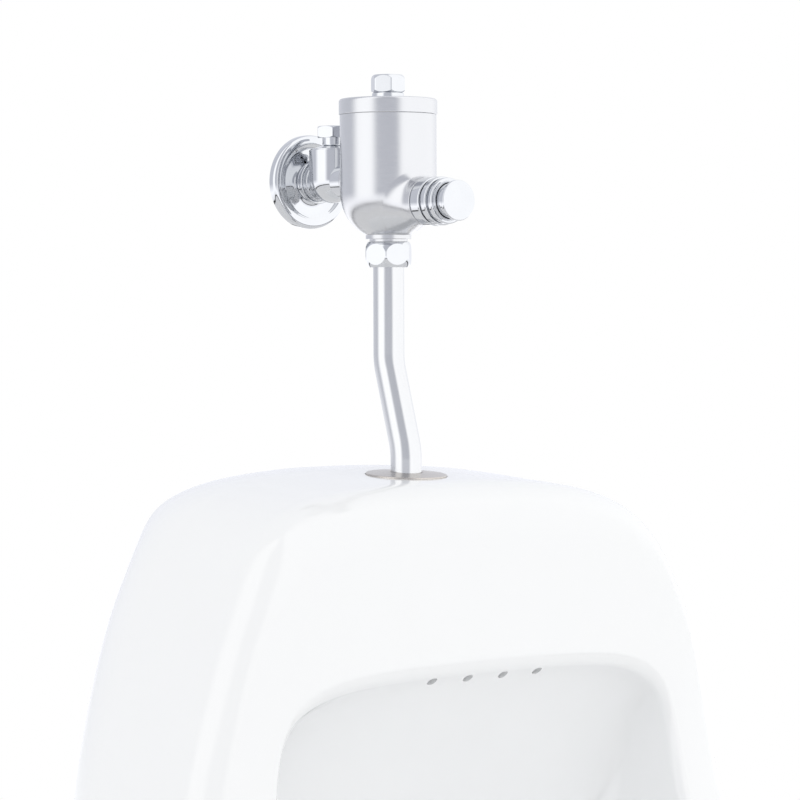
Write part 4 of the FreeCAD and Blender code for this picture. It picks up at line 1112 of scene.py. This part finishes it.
    def lid(self) -> None:
        """The screwed lid with its rounded edge and threaded skirt."""
        rim = room_of("valve_lid").size[0] / 2
        outline = [*self.lid_outline, (rim, 0, 0.35), (rim, self.lid_height, 1.9), *self.lid_neck]
        lid = lathe(raised(outline, self.seam_level), on_valve(0), columns=192, steps=7)
        dress(smoothed(lid.mesh_object("valve_screwed_lid")), "valve_lid", SATIN_CHROME)

    def build(self) -> None:
        """All of the valve's outer pieces: body, lid and the cap over the volume screw."""
        self.body()
        self.lid()
        self.cap.build(on_valve, self.seam_level + self.lid_height, "valve_hexagon_cap", "lid_cap")


@dataclass
class PushButton:
    """The button's ring nut and cap, by their reach from the valve's axis to the room."""

    valve: FlushValve
    neck_radius: float = 11.9
    groove_radius: float = 10.8
    thread_radius: float = 11.3
    thread_end: float = 41.6
    collar_end: float = 54.0
    bore: float = 9.8
    rings: tuple = ((13.3, 35.9, 42.9), (13.1, 44.6, 48.4), (12.4, 50.2, 53.0))
    tube: tuple = ((7.4, 40.4, 0), (10.0, 40.4, 0.2), (10.0, 41.6, 0.1), (9.5, 41.6, 0))
    face_radius: float = 10.9
    face_thickness: float = 2.2
    face_reach: float = 61.5
    crown: float = 3.3              # from the face's back to the hollow's end
    stem_socket: tuple = ((0, 0, 0), (2.0, 0, 0), (2.0, -4, 0), (3.6, -4, 0.3), (3.6, 0, 0),
                          (7.4, 0, 0))

    def collar(self) -> None:
        """The ring nut: a broad round-edged ring, then two narrower ones beyond turned grooves."""
        start = self.valve.boss_shoulder
        outline = [(self.thread_radius, start, 0), (self.neck_radius, start, 0.1)]
        for radius, near, far in self.rings:
            outline += [(outline[-1][0], near, 0.2), (radius, near, 0.5), (radius, far, 1.0),
                        (self.groove_radius, far, 0.2)]
        outline += [(self.groove_radius, self.collar_end, 0.3), (self.bore, self.collar_end, 0.3),
                    (self.bore, self.thread_end, 0), (self.thread_radius, self.thread_end, 0)]
        ring = lathe(outline, self.valve.on_button(0), Axis.TO_ROOM).mesh_object("button_ring_nut")
        dress(smoothed(ring), "button_collar", BRIGHT_CHROME)

    def cap(self) -> None:
        """The pressed cap: a tube with a flat, wider face."""
        face, back = self.face_reach, self.face_reach - self.face_thickness
        outline = [*self.tube, (self.tube[-1][0], back, 0.3), (self.face_radius, back, 0.5),
                   (self.face_radius, face, 0.6), (0, face, 0),
                   *raised(self.stem_socket, back - self.crown)]
        cap = lathe(outline, self.valve.on_button(0), Axis.TO_ROOM)
        dress(smoothed(cap.mesh_object("button_pressed_cap")), "button_cap", BRIGHT_CHROME)

    def build(self) -> None:
        """Both pieces."""
        self.collar()
        self.cap()


@dataclass
class FlushPipe:
    """The bent tube down to the china, with its nut and cover flange."""

    radius: float = 8.5
    wall: float = 1.0
    top: float = 117.5
    upper_bend: float = 62.0
    lower_bend: float = 14.0
    bend_radius: float = 32.0
    into_china: float = 44.0
    collar_radius: float = 10.2
    collar_thickness: float = 1.5
    collar_edge: float = 0.3
    collar_fillet: float = 0.4
    plate: tuple = ((8.9, 0, 0), (22.3, 0, 0.25), (22.3, 1.4, 0.7), (11.5, 2.35, 1.5),
                    (9.6, 2.4, 0.4), (8.9, 2.0, 0.3))
    nut_lip: float = 2.0            # thickness of the nut under the collar
    nut_head: Hexagon = Hexagon(24.0, 0.0, 14.0, 46.0, Turning(7.0, 13.75, 11.2),
                                Turning(7.0, 13.75, 11.2))
    nut_steps: tuple = ((8.85, 2.0), (10.6, 15.0))

    def centre_line(self) -> tuple[np.ndarray, np.ndarray]:
        """Points and directions of the tube's middle: straight runs and two tangent arcs."""
        corners = np.array([on_valve(self.top), on_valve(self.upper_bend),
                            on_inlet(self.lower_bend), on_inlet(-self.into_china)])
        way = np.diff(corners, axis=0)
        way /= np.linalg.norm(way, axis=1, keepdims=True)
        turn = np.arccos(np.clip((way[:-1] * way[1:]).sum(axis=1), -1, 1))
        cut_back = self.bend_radius * np.tan(turn / 2)
        points, directions = [corners[:1]], [way[:1]]
        for bend in range(2):
            share = np.linspace(0.0, 1.0, 13)[:, None]
            here, there, angle = way[bend], way[bend + 1], turn[bend]
            heading = here * np.sin((1 - share) * angle) + there * np.sin(share * angle)
            inward = there - here * np.cos(angle)
            inward /= np.linalg.norm(inward)
            arc = here * np.sin(share * angle) + inward * (1 - np.cos(share * angle))
            points.append(corners[bend + 1] - here * cut_back[bend] + self.bend_radius * arc)
            directions.append(heading / np.sin(angle))
        return (np.concatenate([*points, corners[-1:]]),
                np.concatenate([*directions, way[-1:]]))

    def tube(self) -> None:
        """The tube: a circle carried along its centre line, outside down and inside up."""
        centre, direction = self.centre_line()
        angle = np.linspace(0.0, 2 * math.pi, 96, endpoint=False)[None, :, None]
        across = np.array([1.0, 0.0, 0.0])
        other = np.cross(direction, across)[:, None, :]

        def circles(radius: np.ndarray, middle: np.ndarray, side: np.ndarray) -> np.ndarray:
            """A circle of each radius round each middle."""
            circle = np.cos(angle) * across + np.sin(angle) * side
            return middle[:, None] + radius[:, None, None] * circle

        rim, edge, fillet = self.collar_radius, self.collar_edge, self.collar_fillet
        depth = self.collar_thickness
        collar = np.array([[self.radius - self.wall, 0.0], [rim - edge, 0.0], [rim, edge],
                           [rim, depth - edge], [rim - edge, depth],
                           [self.radius + fillet, depth], [self.radius, depth + fillet]])
        collar_middle = centre[0] + collar[:, 1:] * np.array(Axis.DOWN.value)
        outside = circles(np.full(len(centre) - 1, self.radius), centre[1:], other[1:])
        inside = circles(np.full(len(centre), self.radius - self.wall), centre, other)[::-1]
        turned = circles(collar[:, 0], collar_middle,
                         np.broadcast_to(other[:1], (len(collar), 1, 3)))
        grid = np.concatenate([turned, outside, inside[:-1]])
        pipe = grid_form(grid, True, True).mesh_object("flush_pipe_tube")
        dress(smoothed(pipe), "flush_pipe", TUBE_CHROME)

    def flange(self) -> None:
        """The cover plate: flat under, with a rounded edge and a low cone up to the tube."""
        slope = (0.0, -UrinalChina.top_slope, 1.0)
        plate = lathe(self.plate, on_inlet(0), slope, columns=160)
        dress(smoothed(plate.mesh_object("pipe_cover_flange")), "pipe_flange", BRUSHED_STEEL)

    def nut(self) -> None:
        """The union nut, turned to a ball so that each flat ends in a round edge."""
        low = self.top - self.collar_thickness - self.nut_lip
        bore = stepped(-1, self.nut_steps, on_valve(0), level=low)
        nut = shaped(self.nut_head.form(on_valve, low), [(Join.CUT, bore)], "pipe_union_nut")
        dress(smoothed(nut, 24.0), "outlet_nut", BRIGHT_CHROME)

    def build(self) -> None:
        """Tube, flange and nut."""
        self.tube()
        self.flange()
        self.nut()


@dataclass
class StopValve:
    """The angle stop in the wall, with its cap and its cover rosette."""

    level: float = 163.0
    radius: float = 13.4
    bottom: float = 150.5
    top: float = 180.3
    barrel_head: tuple = ((6.6, 0, 0), (6.6, 1.8, 0.3), (0, 1.8, 0))
    chamber_bottom: float = 154.5
    chamber: tuple = ((7.0, 162.0), (4.2, 164.0), (9.0, 170.5), (4.4, 184.0))
    tail_radius: float = 10.48
    tail_pitch: float = 1.814       # G 1/2 thread
    tail_groove: float = 1.1
    tail_ends: tuple = (-14.0, -0.5)
    rings: tuple = ((0, -1, 0), (10.3, -1, 0), (10.3, 9, 0), (12.5, 9, 0.5), (12.5, 11.3, 0.5),
                    (10.9, 11.3, 0.2), (10.9, 12.9, 0.2), (11.6, 12.9, 0.4), (11.6, 15.2, 0.4),
                    (10.6, 15.2, 0), (10.6, 24.5, 0), (0, 24.5, 0))
    neck: tuple = ((0, 24.5, 0), (9.6, 24.5, 0), (9.6, 43.5, 0.4), (8.2, 43.5, 0),
                   (8.2, 48.0, 0.4), (0, 48.0, 0))
    inlet: tuple = (4.2, -16.0, 24.5)       # radius, and from distance to distance
    inlet_rise: float = -5.0                # above the tail's axis
    outlet: tuple = (3.1, 24.5, 50.0)
    outlet_rise: float = 4.3
    cap: HexCap = HexCap(
        Hexagon(17.0, 6.7, 13.3, 52.0, Turning(1.0, 9.75, 8.45), Turning(1.6, 9.75, 8.1)),
        ((0, 0, 0), (12.6, 0, 0), (12.6, 0.6, 0.3), (9.4, 1.4, 1.2), (6.3, 2.3, 0.8),
         (5.9, 3, 0.4), (5.9, 7, 0), (0, 7, 0)),
        ((6.7, 1.8), (4.5, 10.8)))
    rosette_hole: float = 10.83
    rosette_edge: float = 26.5
    rosette_depth: float = 5.8

    def on_tail(self, distance: float, rise: float = 0.0) -> np.ndarray:
        """A point by its distance from the wall, on the tail's axis or above it."""
        return np.array([0.0, -distance, SEAT_Z + self.level + rise])

    def body(self) -> None:
        """The stop's body: upright barrel with a round foot on a threaded tail with two rings."""
        centre = self.bottom + self.radius
        turn = np.linspace(0.0, math.pi / 2, 21)
        barrel = [(self.radius * math.sin(angle), centre - self.radius * math.cos(angle), 0.0)
                  for angle in turn]
        barrel += [(self.radius, self.top, 0.5), *raised(self.barrel_head, self.top)]
        room, tail = Axis.TO_ROOM, self.on_tail(0)
        changes = [
            (Join.ADD, lathe(self.rings, tail, room)),
            (Join.ADD, threaded(self.tail_radius, self.tail_pitch, self.tail_groove,
                                *self.tail_ends, tail, room)),
            (Join.ADD, lathe(self.neck, tail, room)),
            (Join.CUT, rod(*self.inlet, self.on_tail(0, self.inlet_rise), room)),
            (Join.CUT, rod(*self.outlet, self.on_tail(0, self.outlet_rise), room)),
            (Join.CUT, stepped(self.chamber_bottom, self.chamber, on_stop(0))),
        ]
        shell = lathe(barrel, on_stop(0))
        dress(smoothed(shaped(shell, changes, "stop_casting"), 26.0), "stop_body", BRIGHT_CHROME)

    def rosette(self) -> None:
        """The cover ring: a broad rolled rim round a shallow dish, of thin sheet."""
        hole, edge, depth = self.rosette_hole, self.rosette_edge, self.rosette_depth
        outline = [(edge - 1.0, 0, 0), (edge, 0, 0.2), (edge, depth - 0.6, 3.4),
                   (edge - 4.6, depth, 3.0), (edge - 7.0, depth - 1.9, 1.6),
                   (hole + 3.0, depth - 1.2, 2.0), (hole + 0.4, depth - 0.2, 0.5),
                   (hole, depth - 0.2, 0.2), (hole, depth - 1.2, 0.2),
                   (hole + 2.8, depth - 2.2, 2.0), (edge - 7.2, depth - 2.9, 1.6),
                   (edge - 4.4, depth - 1.0, 2.0), (edge - 1.0, depth - 1.4, 2.4)]
        plate = lathe(outline, self.on_tail(0), Axis.TO_ROOM, columns=160, steps=9)
        plate = plate.mesh_object("wall_cover_rosette")
        dress(smoothed(plate, 50.0, weigh=False), "wall_rosette", BRIGHT_CHROME)

    def build(self) -> None:
        """Body, hexagon cap with its flared skirt, and rosette."""
        self.body()
        self.cap.build(on_stop, self.top, "stop_hexagon_cap", "stop_cap")
        self.rosette()


@dataclass
class Waste:
    """The outlet fitting under the bowl, in heights above the china's outlet floor."""

    to_wall: float = 150.0
    seat_z: float = -347.0          # the china's outlet floor
    boss_depth: float = 16.0
    thread_radius: float = 23.9
    pitch: float = 2.309            # G 1 1/2 thread
    groove: float = 1.3
    bore: float = 20.0
    tail: float = 72.0
    seal: float = 3.0               # thickness of a rubber ring
    seal_radii: tuple = (24.2, 33.0)
    flange: tuple = ((20.0, 3, 0), (23.6, 3, 0), (34, 3, 0.3), (34, 4.3, 0.8), (31.8, 6, 0.8),
                     (26.4, 6, 0.3), (26.4, 4.2, 0), (20.0, 4.2, 0))
    dish: float = 4.2               # the strainer's seat in the flange
    bridge: tuple = (21.0, 3.5, 9.0)        # half length, half width and height
    bridge_hole: tuple = (2.5, -8.0, 6.0)
    plate_radius: float = 26.0
    plate_thickness: float = 1.5
    hole_rings: tuple = ((19.0, 12), (10.5, 6))
    hole_radius: float = 3.0
    screw_hole: float = 2.5
    screw: tuple = ((0, -13, 0), (1.9, -13, 0), (2.45, -12.4, 0), (2.45, 0, 0), (5, 0, 0.2),
                    (4.3, 1.4, 0.6), (0, 2, 0))
    slot: tuple = (9.0, 0.6, 0.9, 3.0)      # half length, half width, floor and top
    nut_bore: float = 24.0
    nut_head: Hexagon = Hexagon(60.0, -9.0, 0.0, 0.0, Turning(3.0, 34.0, 29.0),
                                Turning(1.0, 34.4, 29.6))

    def place(self, level: float) -> np.ndarray:
        """A point on the outlet's axis, by its height above the outlet's floor."""
        return np.array([0.0, -self.to_wall, self.seat_z + level])

    def bar(self, half_length: float, half_width: float, low: float, high: float,
            softness: float) -> Form:
        """A bar across the outlet's axis, along X."""
        return block((-half_length, -self.to_wall - half_width, self.seat_z + low),
                     (half_length, -self.to_wall + half_width, self.seat_z + high), softness)

    def tailpiece(self) -> None:
        """The flanged outlet: dished flange, threaded tail and a bridge for the screw."""
        tail = threaded(self.thread_radius, self.pitch, self.groove, 2 * self.seal - self.tail,
                        self.seal + 0.2, self.place(0), Axis.UP, self.bore)
        half_length, half_width, height = self.bridge
        bridge = self.bar(half_length, half_width, self.dish - height, self.dish, 0.8)
        changes = [(Join.ADD, lathe(self.flange, self.place(0))), (Join.ADD, bridge),
                   (Join.CUT, rod(*self.bridge_hole, self.place(0)))]
        piece = shaped(tail, changes, "waste_tailpiece")
        dress(smoothed(piece, 30.0), "waste_body", NICKEL_PLATE)

    def strainer(self) -> None:
        """The dished grid with two rings of countersunk holes, and its screw."""
        low, head, rim = self.dish, self.dish + self.plate_thickness, self.plate_radius
        plate = lathe([(0, low, 0), (rim, low, 0.2), (rim, head, 0.5), (0, head, 0)],
                      self.place(0))
        cuts = [(0.0, 0.0, self.screw_hole)]
        for circle, count in self.hole_rings:
            turn = 2 * math.pi * (np.arange(count) + 0.5) / count
            cuts += [(circle * math.cos(angle), circle * math.sin(angle), self.hole_radius)
                     for angle in turn]
        holes = [(Join.CUT, lathe([(0, low - 1, 0), (radius, low - 1, 0), (radius, low + 0.9, 0.2),
                                   (radius + 0.9, low + 1.8, 0), (0, low + 1.8, 0)],
                                  self.place(0) + np.array([x, y, 0.0]), columns=40))
                 for x, y, radius in cuts]
        dress(smoothed(shaped(plate, holes, "waste_grid"), 26.0), "waste_strainer", BRUSHED_STEEL)
        screw = lathe(raised(self.screw, head), self.place(0), columns=64)
        half_length, half_width, floor, top = self.slot
        slot = self.bar(half_length, half_width, head + floor, head + top, 0.05)
        piece = shaped(screw, [(Join.CUT, slot)], "waste_grid_screw")
        dress(smoothed(piece), "strainer_screw", BRIGHT_CHROME)

    def nut_and_seals(self) -> None:
        """The locknut under the china and the two rubber rings."""
        top = -self.boss_depth - self.seal
        bore = rod(self.nut_bore, top + self.nut_head.low - 1, top + 1, self.place(0))
        nut = shaped(self.nut_head.form(self.place, top), [(Join.CUT, bore)], "waste_back_nut")
        dress(smoothed(nut, 24.0), "waste_locknut", NICKEL_PLATE)
        inner, outer = self.seal_radii
        for node, low in (("waste_seal_top", 0.0), ("waste_seal_bottom", top)):
            ring = lathe([(inner, low, 0), (outer, low, 0.7), (outer, low + self.seal, 0.7),
                          (inner, low + self.seal, 0)], self.place(0))
            dress(smoothed(ring.mesh_object(node + "_ring")), node, MOULDED_RUBBER)

    def build(self) -> None:
        """All of the fitting."""
        self.tailpiece()
        self.strainer()
        self.nut_and_seals()


@dataclass(frozen=True)
class PressedSpring:
    """A compression spring in the room of its node, which a joint presses together.

    Attributes:
        node: The node that it replaces.
        joint: The joint that shortens it; not used.
        axis: The direction from its moving end, which rides, to its resting end.
        wire: Diameter of its wire.
        turns: Number of its turns.
        travel: How far the joint shortens it; not used.
    """

    node: str
    joint: str
    axis: Axis
    wire: float
    turns: int
    travel: float

    def build(self) -> None:
        """A circle carried along a helix, square to it, and closed at both ends.

        The helix is a point that goes round the axis at an even rate while it rises at an even
        rate. Across the wire, one direction points away from the axis and the other is square
        to that and to the helix.
        """
        room = room_of(self.node)
        along = np.abs(np.array(self.axis.value))
        length = float(room.size @ along)
        radius = (float(room.size[0]) - self.wire) / 2
        base = room.centre - np.array(self.axis.value) * length / 2
        turn = np.linspace(0.0, 2 * math.pi * self.turns, 36 * self.turns + 1)[:, None]
        away = np.concatenate([np.cos(turn), np.sin(turn), 0 * turn], axis=1)
        rise = (length - self.wire) / self.turns
        centre = away * radius
        centre[:, 2:] = self.wire / 2 + rise * turn / (2 * math.pi)
        tangent = np.concatenate([-radius * np.sin(turn), radius * np.cos(turn),
                                  0 * turn + rise / (2 * math.pi)], axis=1)
        other = np.cross(tangent / np.linalg.norm(tangent, axis=1, keepdims=True), away)
        around = np.linspace(0.0, 2 * math.pi, 16, endpoint=False)[None, :, None]
        tube = centre[:, None] + self.wire / 2 * (np.cos(around) * away[:, None]
                                                  + np.sin(around) * other[:, None])
        ends = [np.broadcast_to(point, (1, 16, 3)) for point in (centre[0], centre[-1])]
        local = np.concatenate([ends[0], tube, ends[1]])
        form = grid_form(local @ frame_of(self.axis.value) + base, False, True)
        piece = smoothed(form.mesh_object(self.node + "_wire"), 50.0, weigh=False)
        dress(piece, self.node, BRUSHED_STEEL)
        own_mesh(piece)


# ---- studio ----------------------------------------------------------------------------------
WHITE = (1.0, 1.0, 1.0)
COOL = (1.0, 1.02, 1.10)
PALE = (1.0, 1.0, 1.02)


def remapped(tree: bpy.types.NodeTree, value: bpy.types.NodeSocket, low: float,
             high: float) -> bpy.types.NodeSocket:
    """A value's share of the way from low to high, from 0 to 1."""
    return add_node(tree, "ShaderNodeMapRange",
                    {"Value": value, "From Min": low, "From Max": high}).outputs[0]


def ramp(tree: bpy.types.NodeTree, factor: bpy.types.NodeSocket,
         stops: Sequence[tuple[float, float, Point]]) -> bpy.types.NodeSocket:
    """Add a colour ramp.

    Args:
        tree: The node tree.
        factor: Where along the ramp, from 0 to 1.
        stops: (position, brightness, tint) of each stop.

    Returns:
        The ramp's colour.
    """
    node = add_node(tree, "ShaderNodeValToRGB", {"Fac": factor})
    elements = node.color_ramp.elements
    while len(elements) < len(stops):
        elements.new(0.5)
    for element, (position, level, tint) in zip(elements, stops):
        element.position = position
        element.color = (*(level * part for part in tint), 1.0)
    return node.outputs[0]


@dataclass
class Studio:
    """Camera, light and floor."""

    heading: float = 38.0           # degrees from +Y towards +X in which the camera looks
    drop: float = 1.909             # degrees below the horizon
    roll: float = 0.2
    focal_pixels: float = 3000.0
    image_pixels: float = 800.0
    sensor: float = 36.0
    subject_depth: float = 1.638    # metres along the view to the foot of the pipe
    subject_column: float = 406.2   # the photograph's pixel of the pipe's foot
    subject_row: float = 476.0
    panel_light: float = 1.58       # what polished metal sees, against 1 for the white backdrop
    panels: tuple = ((-180, 0.55, COOL), (-95, 0.49, COOL), (-76, 0.98, WHITE), (-40, 1.0, WHITE),
                     (-25, 0.46, COOL), (20, 0.45, COOL), (34, 0.96, WHITE), (125, 0.94, WHITE),
                     (180, 0.55, COOL))             # degrees from the camera round to its right
    below: tuple = ((-1.0, 0.58, PALE), (-0.46, 0.58, PALE), (-0.45, 0.05, PALE),
                    (-0.41, 0.05, PALE), (-0.40, 0.76, PALE), (-0.26, 0.97, PALE),
                    (0.0, 0.97, PALE))              # sine of the angle above the horizon
    panel_foot: tuple = (-0.24, -0.03)              # where the panels take over from below
    floor_z: float = -0.96
    floor_size: float = 3.0

    def camera(self) -> None:
        """A camera whose view puts the pipe's foot where the photograph has it."""
        heading, drop, roll = np.radians([self.heading, self.drop, self.roll])
        forward = np.array([math.sin(heading) * math.cos(drop),
                            math.cos(heading) * math.cos(drop), -math.sin(drop)])
        right = np.array([math.cos(heading), -math.sin(heading), 0.0])
        up = np.cross(right, forward)
        rolled_right = math.cos(roll) * right - math.sin(roll) * up
        rolled_up = math.sin(roll) * right + math.cos(roll) * up
        middle = self.image_pixels / 2
        across = (self.subject_column - middle) / self.focal_pixels * self.subject_depth
        above = (middle - self.subject_row) / self.focal_pixels * self.subject_depth
        place = (on_inlet(0) * MM - self.subject_depth * forward - across * rolled_right
                 - above * rolled_up)
        data = bpy.data.cameras.new("camera")
        data.sensor_width = self.sensor
        data.lens = self.focal_pixels / self.image_pixels * self.sensor
        camera = bpy.data.objects.new("camera", data)
        turn = Matrix(np.stack([rolled_right, rolled_up, -forward], axis=1).tolist()).to_4x4()
        camera.matrix_world = Matrix.Translation(place.tolist()) @ turn
        bpy.context.scene.collection.objects.link(camera)
        bpy.context.scene.camera = camera

    def world(self) -> None:
        """Plain white, but for what glossy rays see.

        They see upright panels, bright and dim in turn, above the horizon. Below it lie a bright
        band, a thin dark line and a dim ground.
        """
        world = bpy.data.worlds.new("studio")
        bpy.context.scene.world = world
        world.use_nodes = True
        tree = world.node_tree
        tree.nodes.clear()
        place = add_node(tree, "ShaderNodeTexCoord").outputs["Generated"]
        heading = math.radians(self.heading)
        to_right, to_camera = (
            add_node(tree, "ShaderNodeVectorMath", {0: place, 1: direction},
                     operation="DOT_PRODUCT").outputs["Value"]
            for direction in ((math.cos(heading), -math.sin(heading), 0.0),
                              (-math.sin(heading), -math.cos(heading), 0.0)))
        angle = add_node(tree, "ShaderNodeMath", {0: to_right, 1: to_camera},
                         operation="ARCTAN2").outputs[0]
        rise = add_node(tree, "ShaderNodeSeparateXYZ", {0: place}).outputs["Z"]
        panels = ramp(tree, remapped(tree, angle, -math.pi, math.pi),
                      [((degrees + 180) / 360, level, tint)
                       for degrees, level, tint in self.panels])
        below = ramp(tree, remapped(tree, rise, -1.0, 0.0),
                     [(height + 1.0, level, tint) for height, level, tint in self.below])
        walls = add_node(tree, "ShaderNodeMix",
                         {"Factor": remapped(tree, rise, *self.panel_foot), 6: below, 7: panels},
                         data_type="RGBA")
        path = add_node(tree, "ShaderNodeLightPath")
        plain = add_node(tree, "ShaderNodeBackground", {"Color": colour("FFFFFF"), "Strength": 1.0})
        banded = add_node(tree, "ShaderNodeBackground", {"Color": walls.outputs[2],
                                                         "Strength": self.panel_light})
        mixed = add_node(tree, "ShaderNodeMixShader", {0: path.outputs["Is Glossy Ray"],
                                                       1: plain.outputs[0], 2: banded.outputs[0]})
        add_node(tree, "ShaderNodeOutputWorld", {"Surface": mixed.outputs[0]})

    def floor(self) -> None:
        """A plain white floor well below the urinal."""
        half = self.floor_size / 2 / MM
        line = np.linspace(-half, half, 3)
        x, y = np.meshgrid(line, line, indexing="ij")
        points = np.stack([x, y, np.full(x.shape, self.floor_z / MM)], axis=-1)
        floor = grid_form(points, False, False).mesh_object("floor")
        paint = Finish("white_studio_floor", "", "F8F8F8", "F6F6F6", (0.7, 0.8), 0.0,
                       (20.0, 20.0, 20.0), 0.0, ior=1.45)
        floor.data.materials.append(paint.material())

    def build(self) -> None:
        """Set up the whole studio."""
        self.camera()
        self.world()
        self.floor()
        bpy.context.scene.view_settings.view_transform = "Standard"


def main() -> None:
    """Build every piece in order."""
    logging.basicConfig(level=logging.INFO, format="%(message)s")
    valve = FlushValve()
    for assembly in (Studio(), UrinalChina(), valve, PushButton(valve), FlushPipe(), StopValve(),
                     Waste(), PressedSpring("piston_spring", "piston_lift", Axis.UP, 1.2, 5, 6.0),
                     PressedSpring("button_spring", "button_press", Axis.TO_WALL, 0.8, 7, 5.0)):
        assembly.build()
    dress_inner_nodes()


if __name__ == "__main__":
    main()
